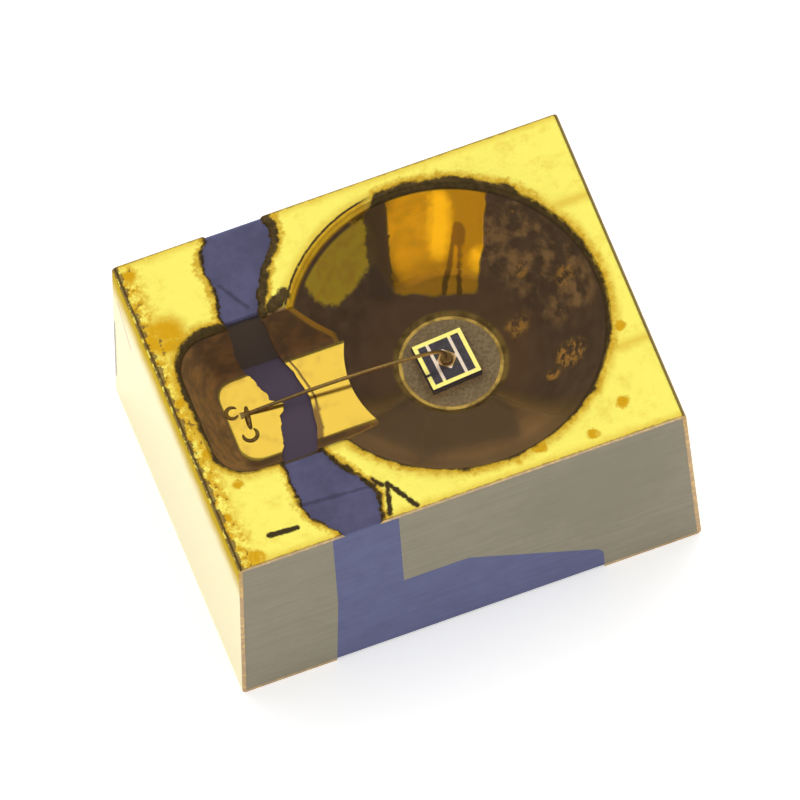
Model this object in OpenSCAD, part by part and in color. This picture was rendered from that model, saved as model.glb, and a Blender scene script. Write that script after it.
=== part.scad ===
// Infrared LED in a two-shot moulded package.
// Two blocks of platable plastic carry the electrodes, and a second, bare plastic insulates them.
// The plating lines a parabolic reflector cup, with the chip on its floor, and a pocket for the bond wire.
// The long sides are sawn, so they show both plastics and the edge of the plating.
// Origin in the middle of the solder face, +X towards the cup's end, +Z the way the light leaves.

/* [Package] */
// Length over the plated ends, at the foot
foot_length = 3.16; // [2.9:0.02:3.5]
// Width between the sawn sides
package_width = 2.35; // [2.2:0.05:2.6]
// Height from the solder pads to the plated top
package_height = 1.69; // [1.5:0.01:1.9]
// Lean of the plated ends, in degrees from upright
end_draft = 1.7; // [0:0.05:3]
// Rounding of the plated end edges
edge_radius = 0.035; // [0.03:0.005:0.08]
// Thickness of the plating
plating = 0.028; // [0.024:0.002:0.04]

/* [Reflector cup] */
// Plated land between the cup's rim and the cup's end, on top
cup_land = 0.144; // [0.11:0.002:0.2]
// Plated land between the cup's rim and each sawn side
side_land = 0.129; // [0.11:0.002:0.2]
// Depth of the plated cup down to its ledge
cup_depth = 0.825; // [0.75:0.005:0.95]
// Radius of the plated cup where it meets the ledge
cup_foot_radius = 0.341; // [0.32:0.002:0.4]
// Size of the chamfer round the rim
rim_chamfer = 0.02; // [0.01:0.002:0.022]
// Radius of the adhesive's well in the ledge
well_radius = 0.318; // [0.3:0.002:0.326]
// Depth of the adhesive's well
well_depth = 0.03; // [0.02:0.002:0.045]
// Plastic around and under the foot of the cup
cup_wall = 0.1; // [0.06:0.01:0.15]

/* [Wire pocket] */
// Plated land between the pocket's rim and the wire's end, on top
pocket_land = 0.132; // [0.1:0.002:0.18]
// Width of the pocket at its rim
pocket_width = 1.06; // [0.95:0.01:1.2]
// Depth of the plated pocket
pocket_depth = 0.525; // [0.45:0.005:0.6]
// Lean of the pocket's walls, in degrees from upright
pocket_draft = 20; // [10:0.5:23]
// Corner rounding of the pocket at its rim
pocket_rim_corner = 0.25; // [0.18:0.01:0.3]
// Corner rounding of the pocket on its floor
pocket_floor_corner = 0.14; // [0.08:0.01:0.18]

/* [Insulator] */
// Stripe's edge on the wire's side at the sawn sides, as a distance past the cup's rim
wire_edge_side = 0.183; // [0.16:0.001:0.2]
// The same edge at its waist, beside the pocket
wire_edge_waist = 0.299; // [0.28:0.001:0.32]
// The same edge on the pocket's floor
wire_edge_floor = 0.149; // [0.12:0.001:0.17]
// Length next to each sawn side over which that edge turns in
wire_edge_turn = 0.175; // [0.1:0.005:0.25]
// Stripe's edge on the cup's side at the sawn sides, negative towards the cup's axis
cup_edge_side = -0.268; // [-0.29:0.001:-0.22]
// The same edge at its waist, beside the pocket
cup_edge_waist = 0.014; // [0:0.001:0.04]
// The same edge on the pocket's floor
cup_edge_floor = -0.101; // [-0.12:0.001:-0.06]
// Length next to the pocket over which that edge swings out
cup_edge_turn = 0.42; // [0.3:0.005:0.5]
// Height of the insulator's foot beside the stripe
foot_height = 0.78; // [0.68:0.01:0.84]
// Length over which the foot stays at that height, from the stripe's middle
foot_shelf = 0.67; // [0.5:0.01:0.75]
// Height of the foot's end, beside the cup's solder pad
foot_step = 0.25; // [0.18:0.01:0.3]
// Rounding of the foot's bends
foot_rounding = 0.12; // [0.05:0.01:0.16]
// Length of the solder pad at the wire's end
wire_pad = 0.652; // [0.59:0.002:0.67]
// Length of the solder pad at the cup's end
cup_pad = 0.667; // [0.59:0.002:0.71]

/* [Chip] */
// Side of the square chip
chip_side = 0.352; // [0.3:0.002:0.36]
// Height of the chip
chip_height = 0.125; // [0.1:0.005:0.16]
// Distance of the chip's middle from the cup's axis, towards the pocket
chip_shift = 0.028; // [0:0.002:0.04]
// Turn of the chip on its adhesive, in degrees
chip_turn = 4; // [-6:0.5:6]
// Thickness of the gold contact on top of the chip
contact_thickness = 0.004; // [0.003:0.0005:0.006]
// Bare edge of the chip around the contact
contact_margin = 0.005; // [0.003:0.001:0.008]
// Width of the contact's frame
contact_frame = 0.028; // [0.02:0.001:0.034]
// Width of the contact's bars
contact_bar = 0.021; // [0.012:0.001:0.024]
// Distance between the middles of the contact's two bars
contact_bar_spacing = 0.155; // [0.13:0.005:0.17]
// Diameter of the contact's bond pad
contact_pad = 0.096; // [0.09:0.002:0.104]
// Width of the break in the contact's frame
contact_break = 0.018; // [0.01:0.001:0.03]
// Distance of that break from the middle of its side
contact_break_offset = 0.062; // [0.05:0.002:0.09]

/* [Bond wire] */
// Diameter of the bond wire
wire_diameter = 0.026; // [0.02:0.001:0.03]
// Diameter of the ball that is bonded to the chip
ball_diameter = 0.086; // [0.07:0.002:0.09]
// Height of the bonded ball
ball_height = 0.034; // [0.028:0.002:0.04]
// Height of the wire's loop above the pocket's floor
loop_height = 0.115; // [0.09:0.005:0.16]
// Distance of the stitch from the far side of the pocket's floor
stitch_inset = 0.2; // [0.16:0.005:0.24]
// Length of the flattened stitch
stitch_length = 0.08; // [0.06:0.005:0.1]
// Smallest gap between the stitch and the stripe on the pocket's floor
stitch_clearance = 0.015; // [0.01:0.005:0.05]
// Turn of the wire in plan, in degrees, about its ball
wire_turn = -1.8; // [-4:0.1:4]

/* [Resin] */
// Depth of the resin's edge below the plated top
resin_recess = 0.05; // [0.044:0.002:0.07]
// Dip of the resin's surface in the middle of the cup
resin_dip = 0.014; // [0.004:0.002:0.03]

/* [Hidden] */

$fn = 96;
cup_steps = 14;
dip_steps = 5;
stripe_steps = 25;
corner_steps = 6;
hull_sides = 32;
wire_sides = 12;
wire_steps = 12;

// How far a cut runs past what it cuts
over = 0.1;
// Smallest rounding and thinnest slice that are still drawn
least = 0.004;

half_length = foot_length / 2;
half_width = package_width / 2;
half_top = half_length - package_height * tan(end_draft);

cup_radius = half_width - side_land;
cup_x = half_top - cup_land - cup_radius;
rim_x = cup_x - cup_radius;
ledge_z = package_height - cup_depth;
well_z = ledge_z - well_depth;

pocket_x = pocket_land - half_top;
pocket_half = pocket_width / 2;
pocket_z = package_height - pocket_depth;
pocket_floor_x = pocket_x + pocket_depth * tan(pocket_draft);

wire_pad_x = wire_pad - half_length;
cup_pad_x = half_length - cup_pad;
side_edge_x = rim_x - wire_edge_side;
shelf_x = rim_x - (wire_edge_side + cup_edge_side) / 2;
stripe_z = foot_height - over;
boss_radius = cup_foot_radius + plating + cup_wall;
boss_z = well_z - plating - cup_wall;

chip_x = cup_x - chip_shift;
contact_z = ledge_z + chip_height;
ball_z = contact_z + contact_thickness;
resin_z = package_height - resin_recess;

gold = [0.93, 0.76, 0.27];
grey = [0.53, 0.51, 0.45];
violet = [0.35, 0.34, 0.52];
silver = [0.52, 0.47, 0.43];
dark_blue = [0.17, 0.14, 0.3];
clear_amber = [0.8, 0.55, 0.2, 0.4];

// Goes smoothly from 0 to 1 while t goes from 0 to 1
function ease(t) = t * t * (3 - 2 * t);

// Points of the arc that rounds corner b of the path a, b, c
function round_corner(a, b, c, radius) =
    let (
        to_a = (a - b) / norm(a - b),
        to_c = (c - b) / norm(c - b),
        half = acos(to_a * to_c) / 2,
        centre = b + (to_a + to_c) / norm(to_a + to_c) * radius / sin(half),
        first = b + to_a * radius / tan(half) - centre,
        last = b + to_c * radius / tan(half) - centre,
        sweep = 180 - 2 * half
    )
    [for (i = [0 : corner_steps])
        let (t = i / corner_steps)
        centre + (first * sin((1 - t) * sweep) + last * sin(t * sweep)) / sin(sweep)];

// A closed outline with each corner rounded by its own radius, or kept sharp where that is 0
function round_outline(points, radii) =
    let (count = len(points))
    [for (i = [0 : count - 1])
        each radii[i] == 0 ? [points[i]]
        : round_corner(points[(i + count - 1) % count], points[i], points[(i + 1) % count], radii[i])];

// The package's section along its length, with every plated face moved in by inset
function package_section(inset) =
    let (
        slant = inset / cos(end_draft),
        foot = half_length - slant - inset * tan(end_draft),
        top = half_top - slant + inset * tan(end_draft),
        high = package_height - inset,
        radius = max(edge_radius - inset, least)
    )
    round_outline([[-foot, inset], [foot, inset], [top, high], [-top, high]], [for (i = [0 : 3]) radius]);

// Runs a section in X and Z along the package's width
module across_width(width) {
    rotate([90, 0, 0])
        linear_extrude(height = width, center = true)
            children();
}

// The package without its plating: it reaches the sawn sides, or runs past them to cut with
module core_block(past = 0) {
    across_width(package_width + 2 * past)
        polygon(package_section(plating));
}

// The square of the reflector's radius falls evenly with depth, which makes it a parabola
cup_fall = (pow(cup_radius, 2) - pow(cup_foot_radius, 2)) / cup_depth;
function cup_radius_at(depth) = sqrt(pow(cup_radius, 2) - cup_fall * depth);

// A point of the reflector's wall, moved outwards by grow along the wall's normal
function cup_point(depth, grow) =
    let (
        radius = cup_radius_at(depth),
        slope = cup_fall / (2 * radius),
        reach = grow / norm([1, slope])
    )
    [radius + reach, package_height - depth - reach * slope];

// The reflector's space, from the adhesive's well up past the rim
module cup(grow) {
    wall = [for (i = [0 : cup_steps]) cup_point(cup_depth - (cup_depth + over) * i / cup_steps, grow)];
    ledge = ledge_z - grow;
    floor_z = well_z - grow;
    well = well_radius + grow;
    foot = cup_point(cup_depth, grow);
    translate([cup_x, 0, 0])
        rotate_extrude()
            polygon(concat(
                [[0, floor_z], [well, floor_z], [well, ledge], [foot[0], ledge]],
                wall,
                [[0, wall[cup_steps][1]]]
            ));
}

// Bevel that breaks the edge of the plated rim
module rim_bevel() {
    radius = cup_radius_at(rim_chamfer);
    translate([cup_x, 0, package_height - rim_chamfer])
        cylinder(r1 = radius, r2 = radius + 2 * rim_chamfer, h = 2 * rim_chamfer);
}

// A thin slice of the pocket at a depth, with its walls moved outwards by grow
module pocket_slice(depth, grow) {
    spread = grow / cos(pocket_draft) - depth * tan(pocket_draft);
    corner = pocket_rim_corner + (pocket_floor_corner - pocket_rim_corner) * depth / pocket_depth;
    end = pocket_x - spread;
    half = pocket_half + spread;
    translate([0, 0, package_height - depth])
        linear_extrude(height = least) {
            for (side = [-1, 1])
                translate([end + corner, side * (half - corner)])
                    circle(r = corner, $fn = hull_sides);
            translate([cup_x - over, -half])
                square([over, 2 * half]);
        }
}

// The pocket's space, with leaning walls and round corners, open to the cup
module pocket(grow) {
    hull() {
        pocket_slice(-over, grow);
        pocket_slice(pocket_depth + grow, grow);
    }
}

module cavity(grow) {
    cup(grow);
    pocket(grow);
}

// How far an edge of the stripe is past the cup's rim: eased from the pocket's middle to the waist at the
// pocket's rim, and then to its place at the sawn side, between two distances from the middle
function stripe_edge(y, floor, waist, side, start, end) =
    let (s = abs(y))
    s < pocket_half ? floor + (waist - floor) * ease(s / pocket_half)
    : waist + (side - waist) * ease(max(0, min(1, (s - start) / (end - start))));

// A line along the stripe in plan, from its wire's side at 0 to its cup's side at 1
stripe_end = half_width + over;
function stripe_line(share) =
    [for (i = [-stripe_steps : stripe_steps])
        let (
            y = stripe_end * i / stripe_steps,
            wire_edge = stripe_edge(y, wire_edge_floor, wire_edge_waist, wire_edge_side,
                half_width - wire_edge_turn, half_width),
            cup_edge = stripe_edge(y, cup_edge_floor, cup_edge_waist, cup_edge_side,
                pocket_half, pocket_half + cup_edge_turn)
        )
        [rim_x - wire_edge + share * (wire_edge - cup_edge), y]];
function reversed(list) = [for (i = [len(list) - 1 : -1 : 0]) list[i]];

// The bare stripe between the electrodes, from inside the insulator's foot up past the top
module stripe() {
    translate([0, 0, stripe_z])
        linear_extrude(height = package_height + over - stripe_z)
            polygon(concat(stripe_line(0), reversed(stripe_line(1))));
}

// The insulator's foot between the pads: it runs in under the cup, slopes down and clears the cup's own foot
module insulator_foot() {
    corners = [
        [wire_pad_x, 0],
        [cup_pad_x, 0],
        [cup_pad_x, foot_step],
        [shelf_x + foot_shelf, foot_height],
        [side_edge_x, foot_height],
    ];
    radii = [0, 0, foot_rounding, foot_rounding, 0];
    difference() {
        across_width(package_width + 2 * over)
            polygon(round_outline(corners, radii));
        translate([cup_x, 0, boss_z])
            cylinder(r = boss_radius, h = package_height);
    }
}

module insulator_space() {
    stripe();
    insulator_foot();
}

// All on the wire's side of the insulator: past the stripe's middle, and lower down past its foot's middle
module wire_side() {
    far = half_length + over;
    foot_middle = (wire_pad_x + cup_x - boss_radius) / 2;
    translate([0, 0, stripe_z])
        linear_extrude(height = package_height + over - stripe_z)
            polygon(concat(stripe_line(0.5), [[-far, stripe_end], [-far, -stripe_end]]));
    translate([-far, -stripe_end, -over])
        cube([far + foot_middle, 2 * stripe_end, stripe_z + over]);
}

// Both plastics together, under the plating
module moulding() {
    difference() {
        core_block();
        cavity(plating);
    }
}

// The plating, bare along the stripe and between the solder pads
module plating_skin() {
    difference() {
        across_width(package_width)
            polygon(package_section(0));
        cavity(0);
        rim_bevel();
        difference() {
            core_block(over);
            cavity(plating);
        }
        stripe();
        translate([wire_pad_x, -stripe_end, -over])
            cube([cup_pad_x - wire_pad_x, 2 * stripe_end, plating + over]);
    }
}

module wire_end_block() {
    color(grey)
        intersection() {
            difference() {
                moulding();
                insulator_space();
            }
            wire_side();
        }
}

module cup_end_block() {
    color(grey)
        difference() {
            moulding();
            insulator_space();
            wire_side();
        }
}

module insulator() {
    color(violet)
        intersection() {
            moulding();
            insulator_space();
        }
}

module wire_end_plating() {
    color(gold)
        intersection() {
            plating_skin();
            wire_side();
        }
}

module cup_end_plating() {
    color(gold)
        difference() {
            plating_skin();
            wire_side();
        }
}

// Silver-filled adhesive that floods the well under the chip
module die_attach() {
    color(silver)
        translate([cup_x, 0, well_z])
            cylinder(r = well_radius, h = well_depth);
}

// All of the well and a little round it, up to the ledge
module below_ledge() {
    translate([cup_x, 0, well_z - over])
        cylinder(r = cup_foot_radius, h = well_depth + over);
}

// Puts children on the chip's own axes, at a height
module on_chip(z) {
    translate([chip_x, 0, z])
        rotate(chip_turn)
            children();
}

module led_chip() {
    color(dark_blue)
        on_chip(ledge_z)
            translate([-chip_side / 2, -chip_side / 2, 0])
                cube([chip_side, chip_side, chip_height]);
}

module square_ring(outer, band) {
    difference() {
        square(outer, center = true);
        square(outer - 2 * band, center = true);
    }
}

// Frame with a break, two bars across it, and a diamond with the bond pad between the bars
module contact_outline() {
    outer = chip_side - 2 * contact_margin;
    difference() {
        square_ring(outer, contact_frame);
        translate([-outer / 2, -contact_break_offset])
            square([3 * contact_frame, contact_break], center = true);
    }
    for (side = [-1, 1])
        translate([side * contact_bar_spacing / 2, 0])
            square([contact_bar, outer - contact_frame], center = true);
    rotate(45)
        square_ring(contact_bar_spacing / sqrt(2), contact_bar);
    circle(d = contact_pad);
}

module chip_contact() {
    color(gold)
        on_chip(contact_z)
            linear_extrude(height = contact_thickness)
                contact_outline();
}

// Point at t of a cubic curve with four control points
function on_curve(p, t) =
    pow(1 - t, 3) * p[0] + 3 * t * pow(1 - t, 2) * p[1] + 3 * t * t * (1 - t) * p[2] + pow(t, 3) * p[3];

// The stitch sits on the plated floor, between the floor's far side and the stripe, and its flattened end
// stops at that side
floor_edge_x = rim_x - wire_edge_floor;
stitch_x = min(pocket_floor_x + stitch_inset, floor_edge_x - wire_diameter / 2 - stitch_clearance);
stitch_run = min(stitch_length, stitch_x - pocket_floor_x - wire_diameter);

// The wire's middle line, as distance from the ball towards the stitch and height:
// straight up out of the ball, over a tight knee, then a long low loop down to the stitch
stitch_reach = chip_x - stitch_x;
loop_z = pocket_z + loop_height;
knee = [4 * wire_diameter, loop_z - 2 * wire_diameter];
wire_rise = [
    [0, ball_z + ball_height / 2],
    [0, knee[1] - wire_diameter],
    knee - [2 * wire_diameter, wire_diameter],
    knee,
];
wire_loop = [
    knee,
    [stitch_reach / 3, loop_z + wire_diameter],
    [stitch_reach * 2 / 3, loop_z],
    [stitch_reach, pocket_z + wire_diameter / 2],
];
wire_line = concat(
    [for (i = [0 : wire_steps - 1]) on_curve(wire_rise, i / wire_steps)],
    [for (i = [0 : wire_steps]) on_curve(wire_loop, i / wire_steps)]
);

// Round tube along a line in X and Z
module tube(line, diameter) {
    last = len(line) - 1;
    points = [for (i = [0 : last])
        let (
            along = line[min(i + 1, last)] - line[max(i - 1, 0)],
            across = [-along[1], along[0]] / norm(along)
        )
        for (k = [0 : wire_sides - 1])
            let (a = k * 360 / wire_sides, p = line[i] + across * cos(a) * diameter / 2)
            [p[0], sin(a) * diameter / 2, p[1]]];
    sides = [for (i = [0 : last - 1], k = [0 : wire_sides - 1])
        let (next = (k + 1) % wire_sides, ring = i * wire_sides, ahead = ring + wire_sides)
        [ring + k, ring + next, ahead + next, ahead + k]];
    caps = [
        [for (k = [wire_sides - 1 : -1 : 0]) k],
        [for (k = [0 : wire_sides - 1]) last * wire_sides + k],
    ];
    polyhedron(points = points, faces = concat(sides, caps), convexity = 4);
}

// Ball pressed onto the contact: round sides between two flats
module bonded_ball() {
    flat = (ball_diameter - ball_height) / 2;
    rotate_extrude() {
        square([flat, ball_height]);
        translate([flat, ball_height / 2])
            intersection() {
                circle(d = ball_height, $fn = hull_sides);
                translate([0, -ball_height / 2])
                    square(ball_height);
            }
    }
}

// The wire's end, pressed flat onto the pocket's floor
module stitch_bond() {
    hull() {
        cylinder(d = wire_diameter, h = wire_diameter, $fn = hull_sides);
        translate([stitch_run, 0, 0])
            cylinder(d = 2 * wire_diameter, h = wire_diameter / 4, $fn = hull_sides);
    }
}

// Drawn from the ball's axis towards +X, then turned to face the pocket
module bond_wire() {
    color(gold)
        translate([chip_x, 0, 0])
            rotate(180 + wire_turn) {
                tube(wire_line, wire_diameter);
                translate([0, 0, ball_z])
                    bonded_ball();
                translate([stitch_reach, 0, pocket_z])
                    stitch_bond();
            }
}

// The shallow hollow in the resin's surface, which deepens towards the cup's axis
module resin_hollow() {
    hollow_radius = cup_radius_at(resin_recess);
    surface = [for (i = [0 : dip_steps])
        let (t = i / dip_steps)
        [hollow_radius * t, resin_z - resin_dip * (1 - t * t)]];
    translate([cup_x, 0, 0])
        rotate_extrude()
            polygon(concat(surface, [[hollow_radius, package_height], [0, package_height]]));
}

// Clear resin that fills the cup, the pocket and the stripe where it crosses the pocket
module encapsulant() {
    color(clear_amber)
        difference() {
            union() {
                cavity(0);
                intersection() {
                    cavity(plating);
                    stripe();
                }
            }
            translate([-half_length, -half_width, resin_z])
                cube([foot_length, package_width, package_height]);
            resin_hollow();
            below_ledge();
            led_chip();
            chip_contact();
            bond_wire();
        }
}

wire_end_block();
cup_end_block();
insulator();
wire_end_plating();
cup_end_plating();
die_attach();
led_chip();
chip_contact();
bond_wire();
encapsulant();
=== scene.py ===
# %% [markdown]
# # An infrared LED in a plated, two-shot moulded package
# The real part is a block about 3 mm long. Two lumps of grey plastic are moulded first, and a violet plastic
# that takes no plating is moulded round them. Copper and gold are then grown on the grey parts only, so the
# gold draws the circuit by itself: a reflector cup with the chip, and a pocket where the bond wire lands.
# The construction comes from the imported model, which stays fixed. This lesson dresses it: it rebuilds the
# pieces that need fine, ragged or polished surfaces, and gives every piece its finish.

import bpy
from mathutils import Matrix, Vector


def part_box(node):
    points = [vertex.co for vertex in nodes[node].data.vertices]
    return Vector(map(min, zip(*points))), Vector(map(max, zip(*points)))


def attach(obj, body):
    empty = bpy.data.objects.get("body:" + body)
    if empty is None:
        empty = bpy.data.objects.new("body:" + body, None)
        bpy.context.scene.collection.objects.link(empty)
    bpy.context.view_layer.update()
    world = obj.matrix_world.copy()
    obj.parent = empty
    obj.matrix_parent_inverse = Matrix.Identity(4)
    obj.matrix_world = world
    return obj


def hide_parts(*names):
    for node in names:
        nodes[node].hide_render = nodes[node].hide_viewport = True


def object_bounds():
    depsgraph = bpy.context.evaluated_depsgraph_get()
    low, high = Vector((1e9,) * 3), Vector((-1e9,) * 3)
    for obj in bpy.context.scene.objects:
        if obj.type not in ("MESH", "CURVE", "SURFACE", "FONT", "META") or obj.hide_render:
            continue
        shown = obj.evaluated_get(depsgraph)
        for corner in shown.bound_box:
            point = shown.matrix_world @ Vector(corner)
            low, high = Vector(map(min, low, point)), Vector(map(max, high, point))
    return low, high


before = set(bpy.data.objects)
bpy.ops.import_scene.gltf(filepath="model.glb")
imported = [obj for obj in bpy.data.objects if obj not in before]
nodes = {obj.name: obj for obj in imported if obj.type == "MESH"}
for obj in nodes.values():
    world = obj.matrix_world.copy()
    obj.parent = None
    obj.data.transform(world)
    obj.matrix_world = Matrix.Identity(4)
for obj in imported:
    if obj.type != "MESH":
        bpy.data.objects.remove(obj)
cad_low, cad_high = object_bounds()
print("construction box in mm:", [round(v * 1000, 3) for v in (*cad_low, *cad_high)])

# %% [markdown]
# ## Millimetres
# Blender works in metres, and a millimetre part is easier to think about in millimetres. Every point below is
# written in millimetres, and turned into metres when its mesh is finished.

# %% Read the main sizes off the construction
import math
import random

import bmesh
import bpy
from mathutils import Matrix, Vector

MM = 0.001


def node_box(node):
    """Lowest and highest corner of a construction node, in millimetres."""
    low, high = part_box(node)
    return low / MM, high / MM


top_z = cad_high.z / MM
half_foot = cad_high.x / MM
half_width = cad_high.y / MM
plating = top_z - node_box("insulator")[1].z
well_low, well_high = node_box("die_attach")
well_z, ledge_z = well_low.z, well_high.z
resin_z = node_box("encapsulant")[1].z
chip_low, chip_high = node_box("led_chip")
for what, value in (("top", top_z), ("plating", plating), ("ledge", ledge_z), ("resin", resin_z)):
    print(what, "in mm:", round(value, 3))

# %% [markdown]
# ## Helpers for solid pieces
# Most pieces here are cut from simple closed shapes, the way the real ones are moulded and machined. A loft
# through matching rings makes all of those shapes. Blender could also build them from primitives with
# modifiers, but rings keep the sizes exact and the edges where they are wanted. The Manifold solver of the
# Boolean modifier then cuts them, and always gives a closed solid back.


# %% Lofts and cuts
def loft(name, rings):
    """A closed solid through rings of points that have the same count."""
    count = len(rings[0])
    faces = [list(range(count)), [(len(rings) - 1) * count + i for i in range(count)]]
    for level in range(len(rings) - 1):
        for i in range(count):
            a, b = level * count + i, level * count + (i + 1) % count
            faces.append([a, b, b + count, a + count])
    mesh = bpy.data.meshes.new(name)
    mesh.from_pydata([p for ring in rings for p in ring], [], faces)
    work = bmesh.new()
    work.from_mesh(mesh)
    bmesh.ops.recalc_face_normals(work, faces=work.faces)
    work.to_mesh(mesh)
    work.free()
    piece = bpy.data.objects.new(name, mesh)
    bpy.context.scene.collection.objects.link(piece)
    return piece


def upright(outline, low, high):
    """Rings that run an outline in plan from one height to another."""
    return [[(x, y, z) for x, y in outline] for z in (low, high)]


def crosswise(section, half):
    """Rings that run a section in X and Z across the package's width."""
    return [[(x, y, z) for x, z in section] for y in (-half, half)]


def turned(profile, centre_x, sides=240):
    """Rings of a turned shape, from radius and height pairs, about an upright axis."""
    angles = [2 * math.pi * k / sides for k in range(sides)]
    return [[(centre_x + r * math.cos(a), r * math.sin(a), z) for a in angles] for r, z in profile]


def combine(piece, tool, operation="DIFFERENCE"):
    """Cuts piece with tool, or joins or intersects them, and takes the tool away."""
    change = piece.modifiers.new("combine", "BOOLEAN")
    change.object, change.operation, change.solver = tool, operation, "MANIFOLD"
    done = bpy.data.meshes.new_from_object(piece.evaluated_get(bpy.context.evaluated_depsgraph_get()))
    piece.modifiers.remove(change)
    piece.data = done
    bpy.data.objects.remove(tool)
    return piece


def to_metres(piece, smooth_angle=30):
    """Ends the work in millimetres: scales the mesh and shades it smooth between its real edges."""
    piece.data.transform(Matrix.Scale(MM, 4))
    piece.data.shade_smooth()
    piece.data.set_sharp_from_angle(angle=math.radians(smooth_angle))
    return piece


# %% [markdown]
# ## The cup and the pocket
# The reflector is a parabola, so that light from the chip leaves upwards. The square of its radius falls
# evenly with depth, which is the easiest way to draw one. The pocket beside it has leaning walls, so that the
# bonding tool can reach its floor. Both rims roll over a little, because plating rounds every edge.

# %% Draw the cup's profile and the pocket's rings
CUP_X, CUP_RADIUS, CUP_FOOT = 0.340, 1.046, 0.341
WELL_RADIUS = 0.318
ROLL, ROLL_WIDTH, ROLL_STEPS = 0.022, 0.8, 5
POCKET_X, POCKET_HALF, POCKET_DEPTH = -1.398, 0.53, 0.525
POCKET_DRAFT = math.radians(20)
POCKET_LEAN = math.tan(POCKET_DRAFT)
POCKET_CORNERS = 0.25, 0.14
FILLET_STEPS = 6
QUARTER = math.pi / 2
CLEAR, MOUTH = 0.1, 0.05
cup_depth = top_z - ledge_z
cup_fall = (CUP_RADIUS**2 - CUP_FOOT**2) / cup_depth


def cup_radius_at(depth):
    """The parabola's radius at a depth below the top."""
    return math.sqrt(CUP_RADIUS**2 - cup_fall * depth)


def cup_profile(grow, roll=0.0, steps=44):
    """Radius and height from the well's floor up past the rim, moved outwards by grow."""
    profile = [(WELL_RADIUS + grow, well_z - grow), (WELL_RADIUS + grow, ledge_z - grow)]
    for i in range(steps + 1):
        depth = cup_depth + (roll - cup_depth) * i / steps
        radius = cup_radius_at(depth)
        slope = cup_fall / (2 * radius)
        reach = grow / math.hypot(1, slope)
        profile.append((radius + reach, top_z - depth - reach * slope))
    edge, height = profile[-1]
    for i in range(1, ROLL_STEPS + 1 if roll else 1):
        turn = QUARTER * i / ROLL_STEPS
        profile.append((edge + roll * (1 - math.cos(turn)) * ROLL_WIDTH, height + roll * math.sin(turn)))
    profile.append((profile[-1][0] + (0.0 if roll else MOUTH), top_z + CLEAR))
    return profile


def pocket_outline(spread, corner, steps=14):
    """The pocket in plan: two round corners at the far end, and square ends inside the cup."""
    end, half = POCKET_X - spread, POCKET_HALF + spread
    outline = [(CUP_X, -half), (CUP_X, half)]
    for side, start in ((1, 90), (-1, 180)):
        for i in range(steps + 1):
            turn = math.radians(start + 90 * i / steps)
            along = end + corner + corner * math.cos(turn)
            outline.append((along, side * (half - corner) + corner * math.sin(turn)))
    return outline


def pocket_rings(grow, roll=0.0, fillet=0.0):
    """The pocket's outlines from its floor up past the rim, moved outwards by grow."""
    levels = []
    floor = POCKET_DEPTH + grow
    for i in range(FILLET_STEPS + 1 if fillet else 1):
        turn = QUARTER * i / FILLET_STEPS
        levels.append((floor - fillet * (1 - math.cos(turn)), -fillet * (1 - math.sin(turn))))
    for i in range(ROLL_STEPS + 1 if roll else 1):
        turn = QUARTER * i / ROLL_STEPS
        levels.append((roll * (1 - math.sin(turn)), roll * (1 - math.cos(turn))))
    levels.append((-CLEAR, levels[-1][1]))
    rings = []
    for depth, extra in levels:
        spread = grow / math.cos(POCKET_DRAFT) - depth * POCKET_LEAN + extra
        share = min(max(depth / POCKET_DEPTH, 0), 1)
        corner = POCKET_CORNERS[0] + (POCKET_CORNERS[1] - POCKET_CORNERS[0]) * share
        rings.append([(x, y, top_z - depth) for x, y in pocket_outline(spread, corner)])
    return rings


floor_z = top_z - POCKET_DEPTH
print("cup foot radius", CUP_FOOT, "fall", round(cup_fall, 3), "pocket floor at", round(floor_z, 3))

# %% [markdown]
# ## The ragged stripe
# Where the gold stops at the violet plastic its edge is not a clean line: the metal creeps over the plastic
# in lobes. A clean curve with a noise shader would only look ragged from above. Here the edge itself is
# ragged: a few points give its course, and seeded random steps between them give the lobes.

# %% Draw the two edges of the stripe
WIRE_SIDE_EDGE = (
    (-1.30, -0.80), (-1.175, -0.812), (-1.13, -0.83), (-1.086, -0.875), (-1.032, -0.909), (-0.98, -0.958),
    (-0.927, -0.974), (-0.77, -0.983), (-0.60, -0.985), (-0.52, -0.99), (-0.40, -0.965), (-0.22, -0.885),
    (-0.05, -0.845), (0.0, -0.80), (0.03, -0.795), (0.08, -0.86), (0.22, -0.905), (0.40, -0.975),
    (0.53, -0.99), (0.63, -0.985), (0.72, -0.97), (0.80, -0.958), (0.90, -0.971), (1.00, -0.968),
    (1.076, -0.952), (1.128, -0.90), (1.175, -0.884), (1.30, -0.88),
)
CUP_SIDE_EDGE = (
    (-1.30, -0.55), (-1.175, -0.55), (-1.10, -0.54), (-1.05, -0.522), (-0.98, -0.507), (-0.909, -0.522),
    (-0.857, -0.548), (-0.803, -0.592), (-0.698, -0.662), (-0.60, -0.712), (-0.52, -0.742), (-0.40, -0.72),
    (-0.22, -0.655), (0.0, -0.62), (0.22, -0.655), (0.40, -0.72), (0.55, -0.75), (0.617, -0.742),
    (0.69, -0.716), (0.76, -0.673), (0.802, -0.662), (0.855, -0.619), (0.908, -0.574), (0.969, -0.53),
    (1.022, -0.506), (1.10, -0.50), (1.175, -0.522), (1.30, -0.53),
)
STEP, LOBE = 0.009, 0.012
KEEP, KICK, LIMIT = 0.7, 0.8, 1.4
CALM_HALF = 0.5


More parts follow.
